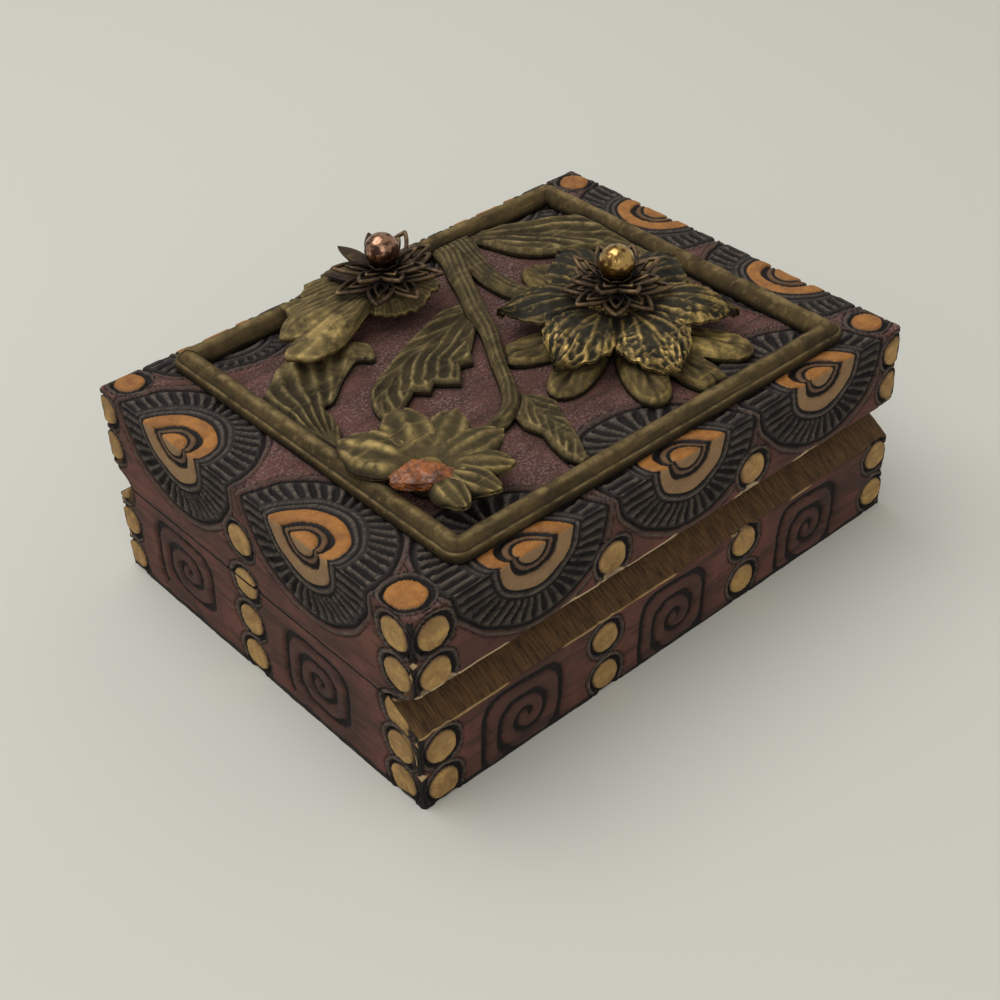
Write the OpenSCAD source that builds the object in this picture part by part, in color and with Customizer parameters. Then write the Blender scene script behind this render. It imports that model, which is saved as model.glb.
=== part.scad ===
// Carved keepsake box with a hinged lid and an openwork brass plaque.
// Origin: the middle of the underside. +X runs along the front to the right,
// +Y to the back, +Z up. The lid is shown shut. Lengths are in millimetres.

/* [Wooden box] */
// Length of the box along its front
box_w = 130; // [120:1:170]
// Depth of the box from front to back
box_d = 97; // [92:1:130]
// Height of the base, from its underside to the parting line
base_h = 23; // [18:0.5:40]
// Height of the lid's wood above the parting gap
lid_h = 22.2; // [19:0.1:40]
// Thickness of the base walls and of the lid rails
wall_t = 11; // [9.5:0.5:14]
// Thickness of the board that closes the lid
lid_board_t = 9; // [7:0.5:12]
// Thickness of the bottom board
bottom_t = 4; // [3:0.5:6]
// Width of the step in the walls that the bottom board sits in
rebate_w = 4; // [2.5:0.5:6]
// Slack round the bottom board
board_fit = 0.1; // [0.05:0.05:0.3]
// Gap along the parting line with the lid shut
parting_gap = 0.2; // [0.1:0.05:0.5]

/* [Finger groove and back bevels] */
// Depth of the bevel along the base's front edge
base_bevel_d = 8; // [5:0.5:9]
// Height of the bevel along the base's front edge
base_bevel_h = 5.2; // [3:0.1:8]
// Depth of the bevel along the lid's front edge
lid_bevel_d = 5.5; // [3:0.5:8]
// Height of the bevel along the lid's front edge
lid_bevel_h = 4.4; // [3:0.1:8]
// Depth of both bevels along the back edge
back_bevel_d = 5.5; // [5:0.1:5.8]
// Height of each bevel along the back edge
back_bevel_h = 4.2; // [4.1:0.1:5]

/* [Carving of the lid] */
// Reach of a heart from its middle to its lobes
heart_r = 9; // [7:0.5:10]
// Outer radius of the sunk fan round a heart
fan_r = 17; // [14:0.5:17.5]
// Depth of the fans below the faces
fan_depth = 0.5; // [0.3:0.1:0.7]
// Depth of the grooves round the fans and discs and inside the hearts
groove_depth = 0.9; // [0.8:0.1:1.2]
// Width of those grooves
groove_w = 0.9; // [0.6:0.1:1.2]
// Distance of the end hearts from the left and right faces
heart_margin_x = 26.5; // [24:0.5:30]
// Distance of the side hearts from the front and back faces, before their shift
heart_margin_y = 28.3; // [24:0.1:32]
// Shift of the side hearts towards the back
heart_shift_y = 1.7; // [-2:0.1:2]
// Radius of the discs at the corners of the lid
corner_disc_r = 3.3; // [2.5:0.1:3.6]
// Distance of those discs' middles from both faces
corner_disc_inset = 5.4; // [5.2:0.1:7]

/* [Hinges] */
// Length of each hinge
hinge_len = 18; // [12:1:30]
// Distance between the middles of the two hinges
hinge_spacing = 76; // [40:1:90]
// Outer diameter of the hinge knuckles
knuckle_od = 2.8; // [2.4:0.1:2.8]
// Diameter of the hinge pin
hinge_pin_d = 1.2; // [0.8:0.1:1.6]
// Clearance all round the hinge pin
hinge_play = 0.05; // [0.02:0.01:0.1]
// Gap between neighbouring knuckles
knuckle_gap = 0.2; // [0.1:0.05:0.4]
// Thickness of the hinge leaves
leaf_t = 0.9; // [0.6:0.1:1]
// Reach of a leaf on to the rim
leaf_reach = 4.6; // [3.4:0.1:5]
// Distance of the pin behind the inner edge of the back bevels
pin_out = 2.4; // [2.4:0.05:2.6]
// Shank diameter of the hinge screws
screw_d = 1.4; // [1:0.1:1.6]
// Head diameter of the hinge screws
screw_head_d = 2.6; // [2:0.1:2.8]
// Length of the hinge screws
screw_len = 6; // [4:0.5:8]
// Distance between the two screws of a leaf
screw_pitch = 10; // [7:0.5:14]

/* [Brass plaque] */
// Length of the frame along the box
plaque_w = 104; // [96:1:110]
// Depth of the frame
plaque_d = 88; // [82:1:90]
// Width of the half-round frame bars
bar_w = 5.4; // [4:0.2:7]
// Height of the frame bars
bar_h = 3.6; // [2.5:0.1:5]
// Rounding of the frame's outer corners
frame_corner_r = 3.6; // [2:0.2:5]
// Thickness of the stems and leaves inside the frame
spray_t = 3; // [2:0.1:3.6]
// Shift of the plaque to the right of the lid's middle
plaque_dx = 1.5; // [-3:0.5:3]
// Shift of the plaque behind the lid's middle
plaque_dy = 0.5; // [-2:0.5:2]

/* [Flowers] */
// Diameter of the threaded posts that hold the flowers
post_d = 1.6; // [1.2:0.1:2]
// Clearance round a post
post_fit = 0.05; // [0.03:0.01:0.1]
// Outer diameter of the sleeves on the posts
sleeve_d = 5; // [3:0.5:6]
// Height at which the large flower's petals start, above the lid
petals_z = 5.6; // [4.5:0.1:7]
// Reach of the large flower's petals
petal_len = 25.5; // [20:0.5:27]
// Thickness of stamped petals and leaves
sheet_t = 1; // [0.6:0.1:1.4]
// Height at which the ruffled leaf starts, above the lid
ruffle_z = 5.4; // [4:0.1:8]
// Reach of the wire loops of each star
star_r = 11.5; // [9:0.5:13]
// Width and thickness of the wire of the star loops
wire_w = 0.8; // [0.5:0.1:1.2]
// Width of the loops of a lower star
lower_loop_w = 5; // [4:0.2:6]
// Width of the loops of an upper star
upper_loop_w = 4.2; // [3.4:0.2:5]
// Height from the lower star to the upper star
star_step = 2.4; // [1.6:0.1:4]
// Diameter of the beads
bead_d = 7.3; // [5:0.1:9]
// Height of the collar under each bead
collar_h = 1.2; // [0.6:0.1:2]
// Reach of the small flower's petals
daisy_len = 17; // [12:0.5:18]
// Width across the flats of the post nuts
nut_w = 4.5; // [3.5:0.5:6]
// Height of the post nuts
nut_h = 1.8; // [1.2:0.1:3]

/* [Hidden] */
$fn = 48;

// Heights
lid_z = base_h + parting_gap;
lid_top_z = lid_z + lid_h;
rail_top_z = lid_top_z - lid_board_t;
pin_z = base_h + parting_gap / 2;
pin_y = box_d / 2 - back_bevel_d + pin_out;
over = 1;

// Shape of a heart: how far its tip stands out and its notch cuts in, as shares
// of its reach, and the angles over which they fade
heart_tip = 0.14;
heart_tip_turn = 26;
heart_notch = 0.26;
heart_notch_turn = 16;
heart_groove_at = 0.55;

// Hinges
knuckle_count = 3;
knuckle_len = hinge_len / knuckle_count;
barrel_gap = 0.15;
leaf_edge_y = pin_y - knuckle_od / 2 - barrel_gap;
leaf_back_y = leaf_edge_y - leaf_reach;
screw_y = (leaf_edge_y + leaf_back_y) / 2;
screw_fit = 0.03;
pocket_fit = 0.05;

// Frame
frame_in_x = plaque_w / 2 - bar_w;
frame_in_y = plaque_d / 2 - bar_w;
bar_side_h = 0.45 * bar_h;
solder_gap = 0.02;

// Size of the plaque that the leaves and stems below are drawn for
art_w = 104;
art_d = 88;

// Places of the three posts on the plaque, from its middle
flower_at = fit([[20.5, -9.7]])[0];
star_at = fit([[-7.4, 29.8]])[0];
daisy_at = fit([[-40, -23]])[0];
amber_shift = [-3, -2.5];
hub_plate_r = 8;

// Stack on the large flower's post, above the lid
disc_z = petals_z + sheet_t;
disc_h = 1.8;
disc_r = 6.2;
disc_rim_h = 0.4;
petal_flat_r = disc_r + 0.3;
flower_star_z = disc_z + disc_h;
flower_top_z = flower_star_z + star_step;
// Stack on the left star's post
star_star_z = ruffle_z + sheet_t;
star_top_z = star_star_z + star_step;
hub_r = 2.4;
upper_star_r = 0.84 * star_r;
loop_tip_w = 1.8 * wire_w;
bead_seat = 0.5;
post_hole_h = flower_top_z + wire_w + collar_h + 2 * over;
bead_bore = 4;
bead_bore_gap = 0.2;
daisy_pad_r = 4;
daisy_head_h = 0.8;
post_tail = 0.8;
amber_h = 6;
amber_span = 20;

wood = "#5b2f25";
brass = "#7d6a35";
old_brass = "#5f5a38";
bare_wood = "#8a6a48";
fitting_brass = "#a08a50";
screw_brass = "#b09a5c";
post_brass = "#9a8448";
petal_brass = "#86723a";
leaf_brass = "#97803c";
daisy_brass = "#8a7840";
disc_brass = "#a58a45";
dark_wire = "#5b4a2e";
pale_wire = "#6e5833";
gilt = "#d0ae57";
copper = "#a9714f";
amber = "#8a3d17";

// ---- curves ---------------------------------------------------------------

// Moves drawn points to their places on the real plaque. A third value, the
// width of a stem, stays as it is
function fit(p) = [for (q = p) len(q) == 2
    ? [q[0] * plaque_w / art_w, q[1] * plaque_d / art_d]
    : [q[0] * plaque_w / art_w, q[1] * plaque_d / art_d, q[2]]];

// One point of a smooth curve through p1 and p2
function smooth_point(p0, p1, p2, p3, t) =
    0.5 * (2 * p1 + (p2 - p0) * t + (2 * p0 - 5 * p1 + 4 * p2 - p3) * t * t
        + (3 * p1 - p0 - 3 * p2 + p3) * t * t * t);

// A smooth open curve through the points p, with n steps between each two
function smooth(p, n = 4) = concat(
    [for (i = [0 : len(p) - 2], j = [0 : n - 1])
        smooth_point(p[max(i - 1, 0)], p[i], p[i + 1], p[min(i + 2, len(p) - 1)], j / n)],
    [p[len(p) - 1]]);

// Direction square to the curve c at its point i
function side_of(c, i) =
    let (a = c[max(i - 1, 0)], b = c[min(i + 1, len(c) - 1)],
         d = [b[0] - a[0], b[1] - a[1]])
    [-d[1], d[0]] / norm(d);

// Outline of a band along points that each give x, y and the band's width
function band(p) =
    let (c = smooth(p), last = len(c) - 1)
    concat([for (i = [0 : last]) [c[i][0], c[i][1]] - side_of(c, i) * c[i][2] / 2],
           [for (i = [last : -1 : 0]) [c[i][0], c[i][1]] + side_of(c, i) * c[i][2] / 2]);

// Outline of a petal from a to b, w wide, with a rounded tip
function petal_outline(a, b, w) =
    let (axis = b - a, side = [-axis[1], axis[0]] / norm(axis))
    [for (k = [0 : 15 : 345])
        a + axis * (0.5 - 0.5 * cos(k)) - side * w / 2 * sin(k) * (0.8 - 0.35 * cos(k))];

// ---- wooden box -----------------------------------------------------------

// Outline of one mitred side, seen from above: 0 front, 1 right, 2 back, 3 left
module side_outline(which) {
    half_w = box_w / 2;
    half_d = box_d / 2;
    outer = [[-half_w, -half_d], [half_w, -half_d], [half_w, half_d], [-half_w, half_d]];
    inner = [for (p = outer) [p[0] - sign(p[0]) * wall_t, p[1] - sign(p[1]) * wall_t]];
    next = (which + 1) % 4;
    polygon([outer[which], outer[next], inner[next], inner[which]]);
}

module side_block(which, z0, z1)
    translate([0, 0, z0]) linear_extrude(z1 - z0) side_outline(which);

// A bevel along the whole box: y0 is the outer face, d its depth inwards,
// and h its height above (or, negative, below) the level z0
module bevel(y0, d, z0, h) {
    inward = y0 < 0 ? 1 : -1;
    slope = h / d;
    translate([-box_w / 2 - over, 0, 0]) rotate([90, 0, 90])
        linear_extrude(box_w + 2 * over)
            polygon([[y0 + inward * d, z0], [y0 - inward * over, z0 + h + slope * over],
                     [y0 - inward * over, z0]]);
}

// Pocket for one hinge leaf: z0 is its lower face
module leaf_pocket(x, z0)
    translate([x - hinge_len / 2 - pocket_fit, leaf_back_y - pocket_fit, z0])
        cube([hinge_len + 2 * pocket_fit, box_d / 2, leaf_t + pocket_fit + over]);

module at_hinges() {
    for (x = [-hinge_spacing / 2, hinge_spacing / 2]) translate([x, 0, 0]) children();
}

// Holes for the hinge screws, running away from the parting line
module screw_holes(up) {
    at_hinges() for (x = [-screw_pitch / 2, screw_pitch / 2])
        translate([x, screw_y, up ? lid_z - over : base_h - screw_len - over])
            cylinder(h = screw_len + 2 * over, d = screw_d + 2 * screw_fit);
}

module base_wall(which) {
    color(wood) difference() {
        side_block(which, 0, base_h);
        translate([0, 0, bottom_t / 2]) cube([box_w - 2 * wall_t + 2 * rebate_w,
            box_d - 2 * wall_t + 2 * rebate_w, bottom_t], center = true);
        bevel(-box_d / 2, base_bevel_d, base_h, -base_bevel_h);
        bevel(box_d / 2, back_bevel_d, base_h, -back_bevel_h);
        if (which == 2) at_hinges() leaf_pocket(0, base_h - leaf_t - pocket_fit);
        if (which == 2) screw_holes(false);
    }
}

module base_front_wall() base_wall(0);
module base_right_wall() base_wall(1);
module base_back_wall() base_wall(2);
module base_left_wall() base_wall(3);

module bottom_board() {
    color(bare_wood) translate([0, 0, bottom_t / 2])
        cube([box_w - 2 * wall_t + 2 * rebate_w - 2 * board_fit,
              box_d - 2 * wall_t + 2 * rebate_w - 2 * board_fit, bottom_t], center = true);
}

// Reach of a heart's outline at the angle a from its tip
function heart_reach(a) = heart_r * (1 + heart_tip * exp(-a / heart_tip_turn))
    * (1 - heart_notch * exp((a - 180) / heart_notch_turn));

// A heart whose tip points along +X, at a share of its size
module heart_plan(share = 1)
    polygon([for (a = [-180 : 15 : 165]) share * heart_reach(abs(a)) * [cos(a), sin(a)]]);

module ring_plan(r, width) {
    difference() {
        circle(r = r + width);
        circle(r = r);
    }
}

// Sinks a plan that is the same on both sides of the X axis into the top and
// into the face below it. The X axis runs along their common edge
module sink(depth) {
    for (turn = [0, 1]) rotate([-90 * turn, 0, 0])
        translate([0, 0, turn == 0 ? -depth : -over]) linear_extrude(depth + over)
            intersection() {
                children();
                translate([-2 * fan_r, -over]) square([4 * fan_r, 2 * fan_r]);
            }
}

// A raised heart in its sunk fan, half on the top and half on the face below
module heart_cuts() {
    sink(fan_depth) difference() {
        circle(r = fan_r + groove_w / 2);
        heart_plan();
    }
    sink(groove_depth) ring_plan(fan_r, groove_w);
    sink(groove_depth) difference() {
        heart_plan(heart_groove_at + groove_w / heart_r);
        heart_plan(heart_groove_at);
    }
}

// Middles of the hearts along one side, from its own middle, left to right as
// seen from outside. The back is to the right on the right side (1), and to the
// left on the left side (3)
function hearts_on(which) =
    let (to_back = which == 1 ? 1 : -1)
    which % 2 == 0
        ? [for (k = [-1 : 1]) k * (box_w / 2 - heart_margin_x)]
        : [for (k = [-1, 1]) k * (box_d / 2 - heart_margin_y) + to_back * heart_shift_y];

module edge_carving(which) {
    reach = which % 2 == 0 ? box_d / 2 : box_w / 2;
    rotate([0, 0, 90 * which]) for (u = hearts_on(which)) translate([u, -reach, lid_top_z])
        mirror([which % 2, 0, 0]) heart_cuts();
}

module corner_disc_grooves() {
    for (sx = [-1, 1], sy = [-1, 1])
        translate([sx * (box_w / 2 - corner_disc_inset), sy * (box_d / 2 - corner_disc_inset),
                   lid_top_z - groove_depth])
            linear_extrude(groove_depth + over) ring_plan(corner_disc_r, groove_w);
}

module lid_rail(which) {
    color(wood) difference() {
        side_block(which, lid_z, rail_top_z);
        edge_carving(which);
        bevel(-box_d / 2, lid_bevel_d, lid_z, lid_bevel_h);
        bevel(box_d / 2, back_bevel_d, lid_z, back_bevel_h);
        if (which == 2) at_hinges() leaf_pocket(0, lid_z - over);
        if (which == 2) screw_holes(true);
    }
}

module lid_front_rail() lid_rail(0);
module lid_right_rail() lid_rail(1);
module lid_back_rail() lid_rail(2);
module lid_left_rail() lid_rail(3);

module lid_board() {
    color(wood) difference() {
        translate([-box_w / 2, -box_d / 2, rail_top_z]) cube([box_w, box_d, lid_board_t]);
        for (which = [0 : 3]) edge_carving(which);
        corner_disc_grooves();
        for (at = [flower_at, star_at, daisy_at]) on_plaque(at)
            translate([0, 0, -lid_board_t - over])
                cylinder(h = lid_board_t + 2 * over, d = post_d + 2 * post_fit);
    }
}

// ---- hinges ---------------------------------------------------------------

// Knuckle number k of a hinge whose middle is at x = 0
module knuckle(k) {
    translate([-hinge_len / 2 + k * knuckle_len + knuckle_gap / 2, pin_y, pin_z])
        rotate([0, 90, 0]) cylinder(h = knuckle_len - knuckle_gap, d = knuckle_od);
}

// Hole for the hinge pin, right through the barrel
module pin_bore()
    translate([-hinge_len / 2 - over, pin_y, pin_z]) rotate([0, 90, 0])
        cylinder(h = hinge_len + 2 * over, d = hinge_pin_d + 2 * hinge_play);

// One leaf with the knuckles in the list. Its plate starts at z0, and away is
// the side of the plate that its screws go in from: 1 above, -1 below
module hinge_leaf(knuckles, z0, away) {
    color(brass) difference() {
        union() {
            translate([-hinge_len / 2, leaf_back_y, z0])
                cube([hinge_len, leaf_reach, leaf_t]);
            for (k = knuckles) {
                knuckle(k);
                translate([-hinge_len / 2 + k * knuckle_len + knuckle_gap / 2,
                           leaf_edge_y - over, z0])
                    cube([knuckle_len - knuckle_gap, pin_y - leaf_edge_y + over, leaf_t]);
            }
        }
        pin_bore();
        for (x = [-screw_pitch / 2, screw_pitch / 2])
            translate([x, screw_y, away > 0 ? z0 + leaf_t : z0])
                screw_shape(away, screw_fit);
    }
}

// A countersunk screw whose flat head lies at z = 0; away is 1 when the head
// faces up and -1 when it faces down. grow widens it to a clearance hole
module screw_shape(away, grow = 0) {
    cone = (screw_head_d - screw_d) / 2;
    mirror([0, 0, away > 0 ? 0 : 1]) translate([0, 0, -screw_len]) {
        cylinder(h = screw_len, d = screw_d + 2 * grow);
        translate([0, 0, screw_len - cone])
            cylinder(h = cone, d1 = screw_d + 2 * grow, d2 = screw_head_d + 2 * grow);
    }
}

module base_leaf() hinge_leaf([0, 2], base_h - leaf_t, 1);
module lid_leaf() hinge_leaf([1], lid_z, -1);

module hinge_pin() {
    color(fitting_brass) translate([-hinge_len / 2, pin_y, pin_z]) rotate([0, 90, 0])
        cylinder(h = hinge_len, d = hinge_pin_d);
}

module left_hinge_base_leaf() translate([-hinge_spacing / 2, 0, 0]) base_leaf();
module left_hinge_lid_leaf() translate([-hinge_spacing / 2, 0, 0]) lid_leaf();
module left_hinge_pin() translate([-hinge_spacing / 2, 0, 0]) hinge_pin();
module right_hinge_base_leaf() translate([hinge_spacing / 2, 0, 0]) base_leaf();
module right_hinge_lid_leaf() translate([hinge_spacing / 2, 0, 0]) lid_leaf();
module right_hinge_pin() translate([hinge_spacing / 2, 0, 0]) hinge_pin();

// The four screws of the base leaves (away = 1) or of the lid leaves (-1)
module hinge_screws(away) {
    color(screw_brass) at_hinges() for (x = [-screw_pitch / 2, screw_pitch / 2])
        translate([x, screw_y, away > 0 ? base_h : lid_z]) screw_shape(away);
}

module base_hinge_screws() hinge_screws(1);
module lid_hinge_screws() hinge_screws(-1);

// ---- brass plaque ---------------------------------------------------------

// Moves what is drawn to a place on the plaque, on top of the lid
module on_plaque(at = [0, 0])
    translate([plaque_dx + at[0], plaque_dy + at[1], lid_top_z]) children();

// Profile of a frame bar: upright sides under a flat arch
module bar_profile() {
    polygon(concat([[0, 0], [bar_w, 0]],
        [for (a = [0 : 15 : 180])
            [bar_w / 2 + bar_w / 2 * cos(a), bar_side_h + (bar_h - bar_side_h) * sin(a)]]));
}

// The plan of the frame with rounded outer corners
module frame_plan() {
    x = plaque_w / 2 - frame_corner_r;
    y = plaque_d / 2 - frame_corner_r;
    square([2 * x, plaque_d], center = true);
    square([plaque_w, 2 * y], center = true);
    for (sx = [-x, x], sy = [-y, y]) translate([sx, sy]) circle(r = frame_corner_r);
}

// One mitred bar, long side outwards along -Y before it is turned
module frame_bar(length, reach) {
    translate([length / 2, -reach, 0]) rotate([90, 0, -90]) mirror([1, 0, 0])
        linear_extrude(length) bar_profile();
}

module frame_side(turn, length, reach) {
    color(brass) on_plaque() intersection() {
        rotate([0, 0, turn]) intersection() {
            frame_bar(length, reach);
            linear_extrude(bar_h) polygon([[-length / 2, -reach], [length / 2, -reach],
                [length / 2 - bar_w, bar_w - reach], [bar_w - length / 2, bar_w - reach]]);
        }
        linear_extrude(bar_h) frame_plan();
    }
}

module frame_front_bar() frame_side(0, plaque_w, plaque_d / 2);
module frame_right_bar() frame_side(90, plaque_d, plaque_w / 2);
module frame_back_bar() frame_side(180, plaque_w, plaque_d / 2);
module frame_left_bar() frame_side(270, plaque_d, plaque_w / 2);

// Stems: x, y and width of each point, from the back bar down to the left
main_stem = concat(fit([[17.5, 45, 7], [14.5, 34, 6], [10.5, 27, 5], [7.5, 21, 4.4],
    [4, 14.5, 4.8], [0.5, 6.5, 3.8], [-5.5, -3, 3.2], [-10, -11, 3.2], [-14.5, -16.4, 3.4],
    [-20, -18.8, 3.2], [-29, -20.4, 3]]), [[daisy_at[0] + 2, daisy_at[1] + 0.6, 3]]);
side_stem = concat(fit([[20, 45, 7], [19, 36, 6], [17, 30, 5.4], [15, 23, 5],
    [14.6, 16, 4.4], [16.5, 8, 4.4]]), [[flower_at[0] - 1, flower_at[1] + 7, 4.4]]);

module stem_plan() {
    polygon(band(main_stem));
    polygon(band(side_stem));
}

// Keeps a plan inside the frame
module inside_frame() {
    intersection() {
        children();
        square([2 * frame_in_x, 2 * frame_in_y], center = true);
    }
}

module backplate_hub() translate(flower_at) circle(r = hub_plate_r);

module stem_spray() {
    color(old_brass) on_plaque() difference() {
        linear_extrude(spray_t) inside_frame() difference() {
            union() {
                stem_plan();
                translate(daisy_at) circle(r = daisy_pad_r);
            }
            backplate_hub();
        }
        translate(daisy_at) post_hole();
    }
}

// Large leaf with a toothed lower edge
leaf_upper_edge = fit([[4, 18], [-2, 18.5], [-11, 15.9], [-21, 11.6], [-29, 7.4], [-32.8, 2.5],
    [-33.8, -1.8], [-32.4, -3.4]]);
leaf_teeth = fit([[-29.5, -2.4], [-24, 0.8], [-21.8, -1.6], [-19.4, 0.2], [-15.6, -3.4],
    [-11.6, 1.4], [-9, 0.6], [-6.8, 3.8], [-2.2, 7.8], [2, 12]]);

module serrated_leaf() {
    color(old_brass) on_plaque() linear_extrude(spray_t) difference() {
        polygon(concat(smooth(leaf_upper_edge), leaf_teeth));
        stem_plan();
    }
}

// Fan-like leaf that grows from the left bar
side_leaf_edge = fit([[-50, -5], [-46, -5], [-44, -2.2], [-41.6, 1.4], [-40.4, 5],
    [-39.8, 8.8], [-36.6, 9.6], [-32.4, 13], [-29, 15.4], [-25, 17.4], [-22.6, 15.2],
    [-20.4, 17.6], [-20, 21], [-26, 25], [-34, 26.6], [-40, 24.6], [-46.2, 19.4],
    [-50, 20]]);

module side_leaf() {
    color(old_brass) on_plaque() linear_extrude(spray_t) inside_frame()
        polygon(smooth(side_leaf_edge, 3));
}

// Long leaf across the back right corner
corner_leaf_top = fit([[50, 27], [43.4, 30.4], [38, 33.2], [32, 36.6], [26.5, 38.6],
    [22.6, 45]]);
corner_leaf_low = fit([[22.6, 36.4], [24, 32], [25.4, 27.4], [27.6, 23.4], [32.2, 19.8],
    [37.4, 16.6], [42.2, 13.8], [45, 8.6], [46.4, 3], [50, 0]]);
corner_leaf_edge = concat(smooth(corner_leaf_top, 3), smooth(corner_leaf_low, 3));

module corner_leaf() {
    color(old_brass) on_plaque() linear_extrude(spray_t) inside_frame() difference() {
        polygon(corner_leaf_edge);
        stem_plan();
    }
}

// Small toothed leaf that hangs from the stem to the front bar
small_leaf_edge = fit([[-11, -12.6], [-15.6, -18.6], [-16.6, -22.6], [-15.6, -26.6],
    [-17, -30.6], [-17.8, -34.6], [-16.8, -37.8], [-17, -42], [-13.6, -42], [-14.2, -37.4],
    [-11.8, -32.8], [-10.2, -29.4], [-8.8, -24.8], [-6.8, -21.4], [-7.4, -17.8],
    [-9.4, -14.4]]);

module small_leaf() {
    color(old_brass) on_plaque() linear_extrude(spray_t) inside_frame() difference() {
        polygon(small_leaf_edge);
        stem_plan();
    }
}

// Tip and width of each petal behind the large flower
back_petals = fit([[-4.6, -2.6, 10.5], [-5.4, -19.4, 10.5], [7, -35, 10.5], [19.5, -41, 10],
    [33, -35.6, 11], [44, -8, 9], [23.5, 20, 11]]);

module flower_backplate() {
    color(old_brass) on_plaque() difference() {
        linear_extrude(spray_t) inside_frame() difference() {
            union() {
                backplate_hub();
                for (p = back_petals) polygon(petal_outline(flower_at, [p[0], p[1]], p[2]));
            }
            difference() {
                stem_plan();
                backplate_hub();
            }
            polygon(corner_leaf_edge);
            polygon(small_leaf_edge);
        }
        translate([flower_at[0], flower_at[1], 0]) post_hole();
    }
}

// ---- flowers --------------------------------------------------------------

module post_hole()
    translate([0, 0, -over]) cylinder(h = post_hole_h, d = post_d + 2 * post_fit);

// Smallest turn from angle b to angle a
function turn_between(a, b) = abs(((a - b) % 360 + 540) % 360 - 180);

// Reach of one petal at delta degrees off its middle
function petal_reach(delta, reach, half, notch) = delta >= half ? notch
    : notch + (reach - notch) * sqrt(1 - pow(delta / half, 2.6));

// Petals are [direction, reach, half of the angle that it fills]
function rosette_reach(a, petals, notch) =
    max([for (p = petals) petal_reach(turn_between(a, p[0]), p[1], p[2], notch)]);

// How near the direction a is to the middle of a petal, from 0 to 1
function petal_middle(a, petals) =
    max([for (p = petals) max(0, 1 - pow(turn_between(a, p[0]) / p[2], 2))]);

// A stamped flower: flat out to the radius flat, then petals that rise, crown
// along their middles and dip at their tips
module rosette(petals, notch, flat, rise, crown, dip, rings = 6, step = 5) {
    count = 360 / step;
    reach = [for (i = [0 : count - 1]) rosette_reach(i * step, petals, notch)];
    height = function (i, out) rise * out - dip * out * out
        + crown * petal_middle(i * step, petals) * sin(180 * out);
    sheet = function (z0) [for (j = [0 : rings - 1], i = [0 : count - 1])
        let (out = j / (rings - 1), r = flat + (reach[i] - flat) * out)
        [r * cos(i * step), r * sin(i * step), z0 + height(i, out)]];
    size = rings * count;
    at = function (layer, j, i) layer * size + j * count + i % count;
    faces = concat(
        [for (j = [0 : rings - 2], i = [0 : count - 1], half = [0, 1]) half == 0
            ? [at(1, j, i), at(1, j + 1, i), at(1, j + 1, i + 1)]
            : [at(1, j, i), at(1, j + 1, i + 1), at(1, j, i + 1)]],
        [for (j = [0 : rings - 2], i = [0 : count - 1], half = [0, 1]) half == 0
            ? [at(0, j, i), at(0, j + 1, i + 1), at(0, j + 1, i)]
            : [at(0, j, i), at(0, j, i + 1), at(0, j + 1, i + 1)]],
        [for (i = [0 : count - 1], half = [0, 1]) half == 0
            ? [at(0, rings - 1, i), at(0, rings - 1, i + 1), at(1, rings - 1, i + 1)]
            : [at(0, rings - 1, i), at(1, rings - 1, i + 1), at(1, rings - 1, i)]],
        [for (i = [0 : count - 1]) [2 * size, at(0, 0, i + 1), at(0, 0, i)]],
        [for (i = [0 : count - 1]) [2 * size + 1, at(1, 0, i), at(1, 0, i + 1)]]);
    polyhedron(concat(sheet(0), sheet(sheet_t), [[0, 0, 0], [0, 0, sheet_t]]),
        [for (f = faces) [f[0], f[2], f[1]]]);
}

// A rosette with the hole for its post, drawn at the height z
module stamped_flower(z, petals, notch, flat, rise, crown, dip) {
    difference() {
        translate([0, 0, z]) rosette(petals, notch, flat, rise, crown, dip);
        post_hole();
    }
}

// Directions of the large flower's six petals
flower_dirs = [for (k = [0 : 5]) 15 + 60 * k];

module flower_petals() {
    color(petal_brass) on_plaque(flower_at)
        stamped_flower(petals_z, [for (a = flower_dirs) [a, petal_len, 30]],
            notch = 9, flat = petal_flat_r, rise = 0.6, crown = 1.4, dip = 1.6);
}

// Domed disc with a grained top between the petals and the lower star
module flower_disc() {
    color(disc_brass) on_plaque(flower_at) difference() {
        translate([0, 0, disc_z]) rotate_extrude() polygon(concat([[0, 0], [disc_r, 0]],
            [for (a = [0 : 15 : 75])
                [hub_r + (disc_r - hub_r) * cos(a), disc_rim_h + (disc_h - disc_rim_h) * sin(a)]],
            [[hub_r, disc_h], [0, disc_h]]));
        post_hole();
    }
}

// Tube round a post from z0 up to z1
module sleeve(z0, z1) {
    difference() {
        translate([0, 0, z0]) cylinder(h = z1 - z0, d = sleeve_d);
        post_hole();
    }
}

module flower_sleeve() color(brass) on_plaque(flower_at) sleeve(spray_t, petals_z);
module star_sleeve() color(brass) on_plaque(star_at) sleeve(0, ruffle_z);

// Outline of a pointed loop from x0 to x1, with the half width w
function loop_outline(x0, x1, w) =
    let (at = function (k, out) [x0 + (x1 - x0) * k / 180, out * w * pow(sin(k), 0.8)])
    concat([for (k = [0 : 15 : 165]) at(k, -1)], [for (k = [180 : -15 : 15]) at(k, 1)]);

// One pointed loop of flat wire, from the hub out to the reach given
module wire_loop(reach, width) {
    difference() {
        polygon(loop_outline(hub_r / 2, reach, width / 2));
        polygon(loop_outline(hub_r + wire_w / 2, reach - loop_tip_w, width / 2 - wire_w));
    }
}

// Eight flat wire loops round a hub, the first one turned by turn
module star(reach, width, turn) {
    linear_extrude(wire_w) {
        for (k = [0 : 7]) rotate(turn + 45 * k) wire_loop(reach, width);
        circle(r = hub_r);
    }
}

module lower_star(z) {
    color(dark_wire) difference() {
        translate([0, 0, z]) star(star_r, lower_loop_w, 0);
        post_hole();
    }
}

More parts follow.
